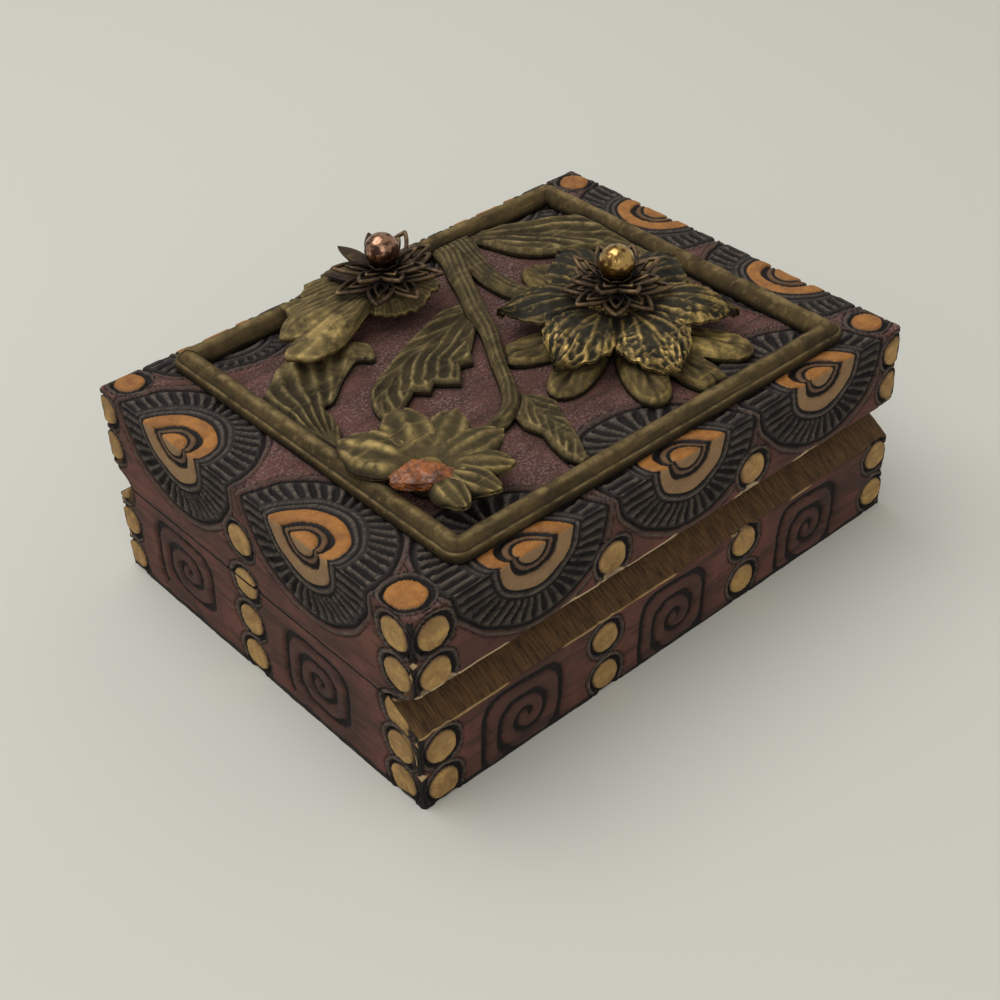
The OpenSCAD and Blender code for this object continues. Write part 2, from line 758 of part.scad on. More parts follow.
// The upper star stands on a short tube and holds the bead in a dished collar
module upper_star(z) {
    tube_h = star_step - wire_w;
    color(pale_wire) difference() {
        union() {
            translate([0, 0, z]) star(upper_star_r, upper_loop_w, 22.5);
            translate([0, 0, z - tube_h]) cylinder(h = tube_h + wire_w + collar_h, r = hub_r);
        }
        post_hole();
        translate([0, 0, bead_z(z)]) sphere(d = bead_d + 2 * solder_gap);
    }
}

// Height of a bead's middle over an upper star at z
function bead_z(z) = z + wire_w + collar_h + bead_d / 2 - bead_seat;

module bead(z) {
    difference() {
        translate([0, 0, bead_z(z)]) sphere(d = bead_d);
        translate([0, 0, bead_z(z) - bead_d / 2 - over])
            cylinder(h = bead_bore + over, d = post_d + 2 * post_fit);
    }
}

// A threaded post from inside the lid up to the height z
module post(z) {
    bottom = -lid_board_t - nut_h - post_tail;
    translate([0, 0, bottom]) cylinder(h = z - bottom, d = post_d);
}

module bead_post(z) color(post_brass) post(bead_z(z) - bead_d / 2 + bead_bore - bead_bore_gap);

module flower_lower_star() on_plaque(flower_at) lower_star(flower_star_z);
module flower_upper_star() on_plaque(flower_at) upper_star(flower_top_z);
module flower_bead() color(gilt) on_plaque(flower_at) bead(flower_top_z);
module flower_post() on_plaque(flower_at) bead_post(flower_top_z);
module star_lower_star() on_plaque(star_at) lower_star(star_star_z);
module star_upper_star() on_plaque(star_at) upper_star(star_top_z);
module star_bead() color(copper) on_plaque(star_at) bead(star_top_z);
module star_post() on_plaque(star_at) bead_post(star_top_z);

// Lobes of the ruffled leaf under the left star: direction, reach, half angle
ruffle_lobes = [[197, 32.5, 13], [180, 27, 15], [160, 22.5, 17], [138, 18, 19],
    [112, 15, 22], [76, 13, 24], [38, 12, 26], [0, 11.5, 26], [-38, 11.5, 24],
    [-72, 10.5, 22], [-106, 9.5, 20], [-136, 9.5, 20]];

module ruffled_leaf() {
    color(leaf_brass) on_plaque(star_at)
        stamped_flower(ruffle_z, ruffle_lobes,
            notch = 9, flat = sleeve_d / 2 + 0.5, rise = 0, crown = 0, dip = 1.2);
}

// Petals of the small flower. Its side towards the corner has none
daisy_petal_list = [[114, daisy_len + 1.5, 24], [70, daisy_len + 1.5, 22],
    [33, daisy_len + 0.5, 20], [-6, daisy_len - 0.5, 20], [-42, daisy_len - 1.5, 19],
    [-74, daisy_len - 1.5, 17], [-104, daisy_len - 2, 16]];

module daisy_petals() {
    color(daisy_brass) on_plaque(daisy_at)
        stamped_flower(spray_t, daisy_petal_list,
            notch = 5.5, flat = daisy_pad_r, rise = 1.2, crown = 0.9, dip = 0.3);
}

module daisy_post() {
    head_z = spray_t + sheet_t;
    color(post_brass) on_plaque(daisy_at) {
        post(head_z);
        translate([0, 0, head_z]) cylinder(h = daisy_head_h, r = hub_r);
    }
}

// Rough lump of amber: size, turn and place of each crystal
amber_crystals = [[5, [20, 35, 10], [0, 0, 2.8]], [4.2, [50, 15, 40], [2.6, 0.6, 2.9]],
    [4.4, [10, 60, 25], [-2.8, -0.6, 2.9]], [3.8, [35, 30, 70], [0.4, -2.8, 2.8]],
    [3.6, [65, 40, 15], [-0.6, 2.8, 2.8]]];

module amber_cluster() {
    color(amber)
        on_plaque([daisy_at[0] + amber_shift[0], daisy_at[1] + amber_shift[1]])
        translate([0, 0, spray_t + sheet_t + daisy_head_h]) intersection() {
            union() for (c = amber_crystals)
                translate(c[2]) rotate(c[1]) cube(c[0], center = true);
            translate([-amber_span / 2, -amber_span / 2, 0])
                cube([amber_span, amber_span, amber_h]);
        }
}

module post_nuts() {
    color(fitting_brass) for (at = [flower_at, star_at, daisy_at]) on_plaque(at)
        translate([0, 0, -lid_board_t - nut_h]) difference() {
            cylinder(h = nut_h, d = nut_w / cos(30), $fn = 6);
            translate([0, 0, -over]) cylinder(h = nut_h + 2 * over, d = post_d + 2 * post_fit);
        }
}

base_front_wall();
base_back_wall();
base_left_wall();
base_right_wall();
bottom_board();
lid_board();
lid_front_rail();
lid_back_rail();
lid_left_rail();
lid_right_rail();
left_hinge_base_leaf();
left_hinge_lid_leaf();
left_hinge_pin();
right_hinge_base_leaf();
right_hinge_lid_leaf();
right_hinge_pin();
base_hinge_screws();
lid_hinge_screws();
frame_front_bar();
frame_back_bar();
frame_left_bar();
frame_right_bar();
stem_spray();
serrated_leaf();
side_leaf();
corner_leaf();
small_leaf();
flower_backplate();
flower_petals();
flower_sleeve();
flower_disc();
flower_lower_star();
flower_upper_star();
flower_bead();
flower_post();
ruffled_leaf();
star_sleeve();
star_lower_star();
star_upper_star();
star_bead();
star_post();
daisy_petals();
daisy_post();
amber_cluster();
post_nuts();
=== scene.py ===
"""Looks of the carved keepsake box: carved and burnt wood, and an openwork brass plaque.

Lengths are in millimetres until a mesh is made, in the frame of the CAD model: the origin is the
middle of the underside, +X runs along the front to the right, +Y to the back and +Z up.
"""
import math

import bpy
import numpy as np
from mathutils import Matrix, Vector
from mathutils.geometry import delaunay_2d_cdt


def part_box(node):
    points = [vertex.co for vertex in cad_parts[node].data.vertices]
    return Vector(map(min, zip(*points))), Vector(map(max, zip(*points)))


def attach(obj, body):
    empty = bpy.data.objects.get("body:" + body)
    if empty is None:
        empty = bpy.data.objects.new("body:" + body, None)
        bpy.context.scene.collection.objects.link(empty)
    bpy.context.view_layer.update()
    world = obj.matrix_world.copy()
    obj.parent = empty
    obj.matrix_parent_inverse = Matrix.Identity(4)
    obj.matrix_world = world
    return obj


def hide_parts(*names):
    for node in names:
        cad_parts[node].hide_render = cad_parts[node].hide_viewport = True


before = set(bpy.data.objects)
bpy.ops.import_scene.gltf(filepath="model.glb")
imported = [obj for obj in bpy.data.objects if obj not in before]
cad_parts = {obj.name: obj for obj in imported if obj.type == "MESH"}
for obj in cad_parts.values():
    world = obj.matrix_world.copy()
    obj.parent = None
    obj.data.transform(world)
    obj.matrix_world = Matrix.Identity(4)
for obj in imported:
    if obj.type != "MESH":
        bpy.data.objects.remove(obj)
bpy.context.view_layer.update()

MM = 0.001


def node_box(node):
    """Lowest and highest corner of a CAD node, in millimetres."""
    low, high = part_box(node)
    return np.array(low) / MM, np.array(high) / MM


# ---- sizes read from the frame ---------------------------------------------

BOARD_LO, BOARD_HI = node_box("lid_board")
RAIL_LO, RAIL_HI = node_box("lid_front_rail")
BASE_LO, BASE_HI = node_box("base_front_wall")
HALF_W, HALF_D = BOARD_HI[0], BOARD_HI[1]
LID_TOP = BOARD_HI[2]
RAIL_TOP = RAIL_HI[2]
LID_Z = RAIL_LO[2]
BASE_H = BASE_HI[2]
WALL_T = BASE_HI[1] + HALF_D
BOTTOM_LO, BOTTOM_HI = node_box("bottom_board")
REBATE_W = BOTTOM_HI[0] - (HALF_W - WALL_T)

# Bevels at the parting line, as in the CAD model: depth and height
BASE_BEVEL = (8.0, 5.2)
LID_BEVEL = (5.5, 4.4)
BACK_BEVEL = (5.5, 4.2)

# ---- camera ------------------------------------------------------------------

CAMERA_AT = (-189.6, -217.9, 234.15)
# Azimuth from +Y towards +X, elevation and roll, in degrees
CAMERA_AZIMUTH, CAMERA_ELEVATION, CAMERA_ROLL = 40.61, 37.98, -2.17
SENSOR_MM = 36.0
FOCAL_MM = 62.0


def make_camera():
    data = bpy.data.cameras.new("camera")
    data.sensor_width = SENSOR_MM
    data.sensor_fit = "HORIZONTAL"
    data.lens = FOCAL_MM
    data.clip_start, data.clip_end = 0.01, 20
    camera = bpy.data.objects.new("camera", data)
    bpy.context.scene.collection.objects.link(camera)
    turn = Matrix.Rotation(-math.radians(CAMERA_AZIMUTH), 4, "Z")
    turn = turn @ Matrix.Rotation(math.radians(90 - CAMERA_ELEVATION), 4, "X")
    turn = turn @ Matrix.Rotation(math.radians(CAMERA_ROLL), 4, "Z")
    camera.matrix_world = Matrix.Translation(Vector(CAMERA_AT) * MM) @ turn
    bpy.context.scene.camera = camera


make_camera()

# ---- small helpers -------------------------------------------------------------


def smooth_step(x, low, high):
    t = np.clip((x - low) / (high - low), 0, 1)
    return t * t * (3 - 2 * t)


def pulse(x, middle, half, soft=0.2):
    """1 within half of the middle, falling to 0 over soft."""
    return 1 - smooth_step(np.abs(x - middle), half - soft / 2, half + soft / 2)


def wobble(points, size, seed, octaves=5):
    """Smooth noise about -1 to 1 over points, with features of about the size given."""
    rng = np.random.default_rng(seed)
    total = np.zeros(len(points))
    for _ in range(octaves):
        way = rng.normal(size=points.shape[1])
        way *= rng.uniform(0.6, 1.5) * 2 * math.pi / (size * np.linalg.norm(way))
        total += np.sin(points @ way + rng.uniform(0, 2 * math.pi))
    return total / math.sqrt(octaves * 0.5) / 1.6


def rounded(points, low, high, radius):
    """Centre and direction that round the edges of a block for points on its sharp surface."""
    centre = np.minimum(np.maximum(points, low + radius), high - radius)
    way = points - centre
    return centre, way / np.maximum(np.linalg.norm(way, axis=1), 1e-9)[:, None]


def grid_quads(rows, columns):
    """Quads of a grid whose vertex (i, j) has the number i * columns + j."""
    i, j = np.arange(rows - 1)[:, None], np.arange(columns - 1)[None, :]
    first, after = i * columns + j, (i + 1) * columns + j
    return np.stack([first, after, after + 1, first + 1], -1).reshape(-1, 4)


def ring_quads(rings, count, closed=False):
    """Quads between rings of count vertices each, and from the last ring to the first if closed."""
    i, j = np.arange(rings if closed else rings - 1)[:, None], np.arange(count)[None, :]
    first, after, beside = i * count, (i + 1) % rings * count, (j + 1) % count
    return np.stack([first + j, after + j, after + beside, first + beside], -1).reshape(-1, 4)


def band(upper, lower):
    """Quads between two closed rows of vertices."""
    return np.stack([upper, lower, np.roll(lower, -1), np.roll(upper, -1)], 1)


def rim_of(numbers):
    """The vertices round the edge of a grid of vertex numbers."""
    return np.concatenate([numbers[0], numbers[1:, -1], numbers[-1, -2::-1], numbers[-2:0:-1, 0]])


def full_turn(count):
    """Angles in even steps round a circle."""
    return np.arange(count) * 2 * math.pi / count


def ball_ways(low, high, rows, columns):
    """Directions over a ball, ring by ring, between two angles from its top."""
    a, b = np.repeat(np.linspace(low, high, rows), columns), np.tile(full_turn(columns), rows)
    return np.stack([np.sin(a) * np.cos(b), np.sin(a) * np.sin(b), np.cos(a)], 1)


def turned(x, y, angle):
    """Coordinates turned anticlockwise about the origin by an angle in radians."""
    return x * math.cos(angle) - y * math.sin(angle), x * math.sin(angle) + y * math.cos(angle)


def spots_of(x, y, z=0):
    """Points from their coordinates; z may be one number for all."""
    return np.column_stack([x, y, x * 0 + z])


def make_piece(name, node, points, faces, masks, material, slot, flat=(), body="lid"):
    """A piece that stands for a CAD node, from points in millimetres. Its masks become float
    attributes, and the faces numbered in flat aren't smoothed."""
    mesh = bpy.data.meshes.new(name)
    mesh.from_pydata((np.asarray(points) * MM).tolist(), [], [list(map(int, f)) for f in faces])
    smooth = np.ones(len(mesh.polygons), bool)
    smooth[list(flat)] = False
    mesh.polygons.foreach_set("use_smooth", smooth)
    for key, values in masks.items():
        layer = mesh.attributes.new(key, "FLOAT", "POINT")
        layer.data.foreach_set("value", np.asarray(values, np.float32))
    mesh.validate()
    mesh.update()
    mesh.materials.append(material)
    piece = bpy.data.objects.new(name, mesh)
    bpy.context.scene.collection.objects.link(piece)
    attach(piece, body)
    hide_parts(node)


# ---- materials -----------------------------------------------------------------

# Half the width of the step that sharpens a soft mask
CRISP_HALF = 0.16


class Graph:
    """A material's node tree, with one short call per node."""

    def __init__(self, name):
        self.material = bpy.data.materials.new(name)
        self.material.use_nodes = True
        self.tree = self.material.node_tree
        self.tree.nodes.clear()
        output = self.tree.nodes.new("ShaderNodeOutputMaterial")
        self.shader = self.tree.nodes.new("ShaderNodeBsdfPrincipled")
        self.tree.links.new(self.shader.outputs[0], output.inputs[0])
        self.place = self.tree.nodes.new("ShaderNodeTexCoord").outputs["Object"]

    def give(self, socket, value):
        if isinstance(value, bpy.types.NodeSocket):
            self.tree.links.new(value, socket)
        elif socket.type == "RGBA":
            socket.default_value = (*value, 1)
        else:
            socket.default_value = value

    def set(self, name, value):
        self.give(self.shader.inputs[name], value)

    def math(self, operation, a, b, clamp=False):
        node = self.tree.nodes.new("ShaderNodeMath")
        node.operation = operation
        node.use_clamp = clamp
        self.give(node.inputs[0], a)
        self.give(node.inputs[1], b)
        return node.outputs[0]

    def times(self, a, b, clamp=False):
        return self.math("MULTIPLY", a, b, clamp)

    def scaled(self, factors):
        node = self.tree.nodes.new("ShaderNodeMapping")
        self.give(node.inputs["Vector"], self.place)
        node.inputs["Scale"].default_value = factors
        return node.outputs[0]

    def noise(self, scale, detail=4.0, rough=0.6, place=None, distortion=0.0):
        node = self.tree.nodes.new("ShaderNodeTexNoise")
        self.give(node.inputs["Vector"], place or self.place)
        node.inputs["Scale"].default_value = scale
        node.inputs["Detail"].default_value = detail
        node.inputs["Roughness"].default_value = rough
        node.inputs["Distortion"].default_value = distortion
        return node.outputs["Fac"]

    def range(self, value, low, high, to_low=0.0, to_high=1.0):
        node = self.tree.nodes.new("ShaderNodeMapRange")
        node.clamp = True
        for name, given in (("Value", value), ("From Min", low), ("From Max", high),
                            ("To Min", to_low), ("To Max", to_high)):
            self.give(node.inputs[name], given)
        return node.outputs[0]

    def mask(self, name):
        node = self.tree.nodes.new("ShaderNodeAttribute")
        node.attribute_name = name
        return node.outputs["Fac"]

    def crisp(self, name):
        """A soft mask of the mesh, sharpened about its middle."""
        return self.range(self.mask(name), 0.5 - CRISP_HALF, 0.5 + CRISP_HALF)

    def mix(self, share, a, b):
        node = self.tree.nodes.new("ShaderNodeMix")
        node.data_type = "RGBA"
        self.give(node.inputs[0], share)
        self.give(node.inputs[6], a)
        self.give(node.inputs[7], b)
        return node.outputs[2]

    def bump(self, height, distance_mm, strength=1.0, normal=None):
        node = self.tree.nodes.new("ShaderNodeBump")
        node.inputs["Strength"].default_value = strength
        node.inputs["Distance"].default_value = distance_mm * MM
        self.give(node.inputs["Height"], height)
        if normal:
            self.give(node.inputs["Normal"], normal)
        return node.outputs[0]

    def hollow(self, distance_mm):
        """Near 0 in hollows and corners, 1 in the open."""
        node = self.tree.nodes.new("ShaderNodeAmbientOcclusion")
        node.inputs["Distance"].default_value = distance_mm * MM
        node.samples = 8
        return node.outputs["AO"]


def srgb(*values):
    """Linear colour from sRGB values of 0 to 255."""
    return tuple(((v / 255 + 0.055) / 1.055) ** 2.4 if v > 10 else v / 255 / 12.92 for v in values)


STAIN = srgb(104, 63, 53)
STAIN_DARK = srgb(72, 45, 37)
STAIN_STREAK = srgb(57, 37, 30)
INK = srgb(35, 30, 28)
INK_EDGE = srgb(104, 92, 82)
# the colour of burnt wood, also used for painted shade in the hollows
BURN_AND_SHADE = srgb(20, 13, 11)
GOLD = srgb(182, 122, 52)
GOLD_DARK = srgb(122, 76, 32)
GOLD_STREAK = srgb(144, 90, 40)
TAN = srgb(184, 147, 88)
TAN_DARK = srgb(124, 93, 54)
TAN_STREAK = srgb(138, 107, 66)
GREY_TAN = srgb(132, 104, 76)
DUST = srgb(150, 118, 114)
CHIP = srgb(196, 170, 134)
RAW = srgb(108, 78, 44)
RAW_DARK = srgb(48, 33, 19)
PLANED = srgb(150, 112, 74)
PLANED_DARK = srgb(112, 80, 50)
PIT = srgb(40, 34, 22)
# the colour of painted shade on brass
SHADE_BLACK = srgb(24, 20, 14)
AMBER_LIGHT = srgb(174, 96, 30)
AMBER_DARK = srgb(92, 46, 16)
# the colour of painted shade in the amber's hollows
AMBER_IN_SHADE = srgb(48, 24, 10)

GRAIN_STRETCH = {"x": (0.12, 1, 1), "y": (1, 0.12, 1)}


def carved_wood(along):
    """Stained and burnt wood whose grain runs along x or y."""
    g = Graph("carved_wood_" + along)
    stretched = g.scaled(GRAIN_STRETCH[along])
    fibres = g.noise(1900, 6, 0.7, stretched)
    streaks = g.noise(420, 4, 0.6, stretched, 0.6)
    blotches = g.noise(95, 4, 0.6)
    grain = g.range(fibres, 0.32, 0.68)
    stain = g.mix(g.range(blotches, 0.35, 0.7), STAIN, STAIN_DARK)
    stain = g.mix(g.times(g.range(streaks, 0.50, 0.62), 0.75), stain, STAIN_STREAK)
    stain = g.mix(g.times(g.range(fibres, 0.5, 0.75), 0.5), stain, STAIN_STREAK)
    specks = g.range(g.noise(1700, 2, 0.8), 0.44, 0.60)
    clouds = g.range(g.noise(110, 3, 0.6), 0.36, 0.60, 0.25, 1.0)
    dusty = g.times(g.times(specks, clouds), g.mask("dust"))
    stain = g.mix(g.times(dusty, 0.75), stain, DUST)
    mottle = g.range(g.noise(300, 6, 0.75), 0.36, 0.66)
    gold = g.mix(mottle, GOLD, GOLD_DARK)
    gold = g.mix(g.times(grain, 0.5), gold, GOLD_STREAK)
    tan = g.mix(mottle, TAN, TAN_DARK)
    tan = g.mix(g.times(g.range(streaks, 0.5, 0.62), 0.6), tan, TAN_STREAK)
    tan = g.mix(g.mask("ridge"), tan, GREY_TAN)
    saw = g.noise(2400, 3, 0.7, g.scaled((1, 0.1, 0.1)))
    raw = g.mix(g.range(saw, 0.35, 0.70), RAW, RAW_DARK)
    ink = g.mix(g.times(g.mask("ridge"), g.range(fibres, 0.36, 0.6)), INK, INK_EDGE)
    colour = g.mix(g.mask("ink"), stain, ink)
    colour = g.mix(g.crisp("tan"), colour, tan)
    colour = g.mix(g.crisp("gold"), colour, gold)
    colour = g.mix(g.crisp("raw"), colour, raw)
    colour = g.mix(g.crisp("chip"), colour, CHIP)
    ragged = g.times(g.math("SUBTRACT", g.noise(700, 4, 0.7), 0.5), 0.7)
    soot = g.range(g.math("ADD", g.mask("burn"), ragged), 0.3, 0.62)
    soot = g.times(soot, g.range(g.mask("burn"), 0.1, 0.4), clamp=True)
    colour = g.mix(soot, colour, BURN_AND_SHADE)
    # painted shade: hollows and corners are darkened towards the burnt colour by ambient occlusion
    unshaded = g.range(g.hollow(1.2), 0.35, 0.95)
    colour = g.mix(g.times(g.math("SUBTRACT", 1.0, unshaded), 0.6), colour, BURN_AND_SHADE)
    g.set("Base Color", colour)
    shine = g.math("SUBTRACT", 0.72, g.times(g.mask("gold"), 0.3))
    g.set("Roughness", g.math("ADD", shine, g.times(grain, 0.12)))
    g.set("Specular IOR Level", 0.35)
    fine = g.bump(fibres, 0.16, 0.9)
    sawn = g.bump(g.times(saw, g.crisp("raw")), 0.3, 1.0, fine)
    stippled = g.bump(g.times(specks, g.mask("dust")), 0.2, 1.0, sawn)
    g.set("Normal", g.bump(g.noise(620, 5, 0.7), 0.25, 0.8, stippled))
    return g.material


def brass(name, dull, bright, patina, rough):
    """Aged brass: painted shade in the hollows and where the mask dark is set, and lighter where the mask
    high is set, as rubbed wear and painted highlight. The colours are sRGB values, and rough is the
    roughness where high and where dull."""
    g = Graph(name)
    dull, bright, patina = srgb(*dull), srgb(*bright), srgb(*patina)
    spots = g.noise(900, 5, 0.65)
    clouds = g.noise(140, 4, 0.6)
    open_share = g.range(g.hollow(1.8), 0.4, 1.0)
    colour = g.mix(g.range(clouds, 0.35, 0.65), dull, patina)
    colour = g.mix(g.times(g.range(spots, 0.52, 0.7), 0.5), colour, patina)
    # rubbed wear and painted highlight where the mask high is set
    wear_and_highlight = g.times(g.mask("high"), g.range(g.noise(320, 3, 0.6), 0.35, 0.6), clamp=True)
    colour = g.mix(wear_and_highlight, colour, bright)
    scratches = g.noise(900, 2, 0.5, g.scaled((0.08, 1, 1)))
    colour = g.mix(g.times(g.range(scratches, 0.58, 0.68), 0.35), colour, bright)
    pits = g.range(g.noise(1500, 3, 0.75), 0.60, 0.70)
    colour = g.mix(g.times(pits, 0.6), colour, PIT)
    # painted shade: darker in the hollows by ambient occlusion, and where the mask dark is set
    darkening = g.times(g.math("SUBTRACT", 1.0, open_share), 0.85)
    darkening = g.math("ADD", darkening, g.times(g.mask("dark"), 0.8), clamp=True)
    colour = g.mix(darkening, colour, SHADE_BLACK)
    g.set("Base Color", colour)
    g.set("Metallic", 0.7)
    roughness = g.mix(wear_and_highlight, (rough[1],) * 3, (rough[0],) * 3)
    g.set("Roughness", g.math("ADD", roughness, g.times(g.range(spots, 0.3, 0.7), 0.12)))
    fine = g.bump(spots, 0.05, 0.6)
    g.set("Normal", g.bump(g.noise(260, 3, 0.5), 0.15, 0.6, fine))
    return g.material


WOOD_X, WOOD_Y = carved_wood("x"), carved_wood("y")
# Dull, bright and patina colours, and the roughness
FRAME_BRASS = brass("frame_brass", (106, 88, 56), (152, 130, 86), (70, 58, 38), (0.54, 0.76))
LEAF_BRASS = brass("leaf_brass", (104, 89, 58), (164, 144, 96), (66, 57, 39), (0.52, 0.74))
BACK_BRASS = brass("back_brass", (104, 89, 56), (172, 146, 86), (68, 58, 38), (0.5, 0.72))
PETAL_BRASS = brass("petal_brass", (66, 61, 46), (208, 174, 102), (40, 38, 33), (0.32, 0.6))
DAISY_BRASS = brass("daisy_brass", (112, 97, 62), (184, 158, 100), (76, 66, 44), (0.5, 0.72))
WIRE_BRASS = brass("wire_brass", (60, 46, 37), (142, 114, 80), (36, 28, 25), (0.3, 0.5))
DISC_BRASS = brass("disc_brass", (128, 102, 52), (214, 178, 96), (76, 62, 34), (0.3, 0.55))
HINGE_BRASS = brass("hinge_brass", (150, 126, 76), (190, 164, 104), (108, 92, 56), (0.42, 0.66))

# ---- carving -------------------------------------------------------------------

CORNER_R = 1.2
HEART_R = 9.0
HEART_TIP = 0.14
HEART_NOTCH = 0.26
# A fan reaches this far along the edge, down the face, and in over the top from each edge
FAN_HALF_W = 18.2
FAN_DOWN = 16.8
FAN_IN = {"front": 19.2, "back": 14.8, "left": 17.4, "right": 17.4}
FAN_GOUGES = 42
# Middles of the hearts along each side, left to right as seen from outside
HEARTS = {"front": (-37.5, 1.7, 39.7), "back": (-38.0, 0.5, 36.5), "left": (-22.1, 18.7),
          "right": (-18.3, 20.6)}
# The front hearts were struck at a slant: they move left by this share of the way in
HEART_SLANT = {"front": 0.2, "back": 0.1, "left": 0.0, "right": 0.0}
SPIRAL_PITCH = 0.355
SPIRAL_TURNS = 3
# Centre, half width and half height of the spirals
LONG_SPIRALS = ((-39.5, 6.8, 11.0, 10.2), (0.2, 6.8, 10.2, 10.2), (40.0, 6.8, 10.0, 10.2))
SHORT_SPIRALS = ((-24.4, 11.8, 10.9, 9.4), (19.0, 10.8, 10.7, 9.4))


def column(u, heights, radius):
    """Round bosses above each other: place along the side, height and radius."""
    return [(u, z, radius) for z in heights]


LONG_DISCS = [*column(-59.8, (39.8, 30.6, 12.8, 3.6), 3.4), (-17.5, 31.8, 3.4),
              *column(-19.2, (13.1, 3.7), 3.2), (20.7, 32.1, 3.3), *column(19.7, (14.3, 4.6), 3.3),
              *column(63.2, (39.8, 31.6), 3.2), *column(61.2, (14.3, 4.6), 3.2)]
SHORT_DISCS = [*column(-46.6, (40.5, 31.8, 21.8), 3.2), *column(-45.8, (12.8, 3.8), 3.2),
               *column(-2.5, (33.0, 22.3, 13.1, 4.1), 3.35), *column(43.6, (39.8, 30.5), 3.4),
               *column(42.6, (20.3, 12.1, 3.6), 3.4)]
# Bosses whose middles are nearer than this to the end of a side stand in its corner column
CORNER_COLUMN = 7.0
# Bosses on the top: which corner (x, y), distance in from each face, and radius
TOP_DISCS = ((-1, -1, 4.6, 6.4, 3.7), (-1, 1, 5.6, 3.4, 3.0), (1, -1, 4.2, 6.2, 3.1), (1, 1, 4.2, 5.1, 3.2))


class Relief:
    """Depth in millimetres and colour masks of many surface points."""

    NAMES = ("depth", "ink", "ridge", "gold", "tan", "raw", "chip", "dust", "burn")

    def __init__(self, count):
        self.value = {n: np.zeros(count) for n in self.NAMES}

    def lay(self, share, **targets):
        """Moves the named values towards their targets by the share given."""
        for name, target in targets.items():
            self.value[name] += (target - self.value[name]) * share

    def groove(self, share, depth, burn=1.0):
        self.value["depth"] = np.maximum(self.value["depth"], share * depth)
        self.value["burn"] = np.maximum(self.value["burn"], share * burn)

    def part(self, near):
        """The values of the points chosen, as a relief of their own."""
        chosen = Relief(len(near))
        chosen.value = {name: values[near] for name, values in self.value.items()}
        return chosen

    def put(self, near, part):
        """Takes the values of the points chosen back from their own relief."""
        for name in self.NAMES:
            self.value[name][near] = part.value[name]


def heart_reach(phi):
    """Reach of the heart's outline at the angle phi from its tip."""
    tip = 1 + HEART_TIP * np.exp(-phi / 0.45)
    notch = 1 - HEART_NOTCH * np.exp(-(math.pi - phi) / 0.28)
    return HEART_R * tip * notch


def heart_and_fan(relief, a, b, top, fan_in):
    """A heart and its fan. a runs to the tip; b is the way in from the arris on top, and less
    than 0 down a face. top is 1 on the top and 0 on a face. fan_in is the reach over the top."""
    spot = spots_of(a, b)
    a = a + 0.22 * wobble(spot, 9, 3)
    b = b + 0.22 * wobble(spot, 8, 4)
    rho = np.hypot(a, b)
    turn = np.arctan2(b, a)
    reach = heart_reach(np.abs(turn))
    wide = np.where(b > 0, fan_in, FAN_DOWN)
    edge = 1 / np.sqrt((np.cos(turn) / FAN_HALF_W) ** 2 + (np.sin(turn) / wide) ** 2)
    inside = 1 - smooth_step(rho, edge - 0.2, edge + 0.2)
    relief.lay(inside, ink=1, gold=0, tan=0, dust=0, depth=0.25, burn=0.15)
    # gouges, cut from the heart outwards, longer on the face than on the top
    step = (turn / (2 * math.pi) * FAN_GOUGES) + 0.16 * np.sin(turn * 2) * (rho - 14)
    share = step - np.floor(step)
    cut = np.random.default_rng(11).uniform(0.7, 1.1, FAN_GOUGES + 2)
    strength = cut[(np.floor(step).astype(int) % FAN_GOUGES)]
    start = reach + 1.7 + 1.5 * top
    along = np.clip((rho - start) / np.maximum(edge - 0.7 - start, 0.5), 0, 1)
    half = 0.16 + 0.26 * np.sqrt(4 * along * (1 - along))
    gouge = np.clip(1 - (np.abs(share - 0.5) / half) ** 3, 0, 1) * strength
    zone = smooth_step(rho, start, start + 0.7) * (1 - smooth_step(rho, edge - 1.1, edge - 0.5))
    relief.lay(zone * (1 - np.clip(gouge * 1.6, 0, 1)), ridge=0.75 + 0.25 * top, burn=0, depth=0.05)
    relief.groove(gouge * zone, 1.1, 1.0)
    # lines round the fan
    relief.groove(pulse(rho, edge + 0.1, 0.35, 0.6), 0.9)
    relief.lay(pulse(rho, edge + 0.95, 0.32, 0.4), ink=0.85, ridge=0.9, burn=0, dust=0)
    relief.groove(pulse(rho, edge + 1.6, 0.16, 0.5), 0.4, 0.8)
    # lines round the heart
    off = rho - reach
    relief.lay(pulse(off, 1.1, 0.34, 0.4), ridge=0.9, depth=0.05, burn=0)
    relief.groove(pulse(off, 0.35, 0.28, 0.5), 0.6, 0.9)
    relief.groove(pulse(off, 1.85, 0.28, 0.5), 0.6, 0.9)
    relief.lay(pulse(off, 2.5, 0.2, 0.4) * top, ridge=0.8, burn=0)
    # the heart itself: flat band, groove, ridge, groove, core
    share = rho / reach
    band = 1 - smooth_step(share, 0.955, 1.025)
    relief.lay(band, ink=0, burn=0, depth=0.05, tan=1)
    relief.lay(band, ridge=0.75 * (1 - top))
    relief.lay(band * top, gold=1)
    ring = 1 - smooth_step(share, 0.60, 0.68)
    relief.lay(ring, gold=0, tan=0.42, ink=0.35, depth=0.35)
    relief.groove(pulse(share, 0.595, 0.062, 0.09), 1.15)
    relief.groove(pulse(share, 0.405, 0.036, 0.08), 0.85)
    core = 1 - smooth_step(share, 0.33, 0.40)
    relief.lay(core, gold=0.9 * top + 0.1, tan=1, ink=0, burn=0, depth=0.15)
    relief.groove((1 - smooth_step(np.abs(b), 0.05, 0.4)) * band * 0.55, 0.1, 0.55)


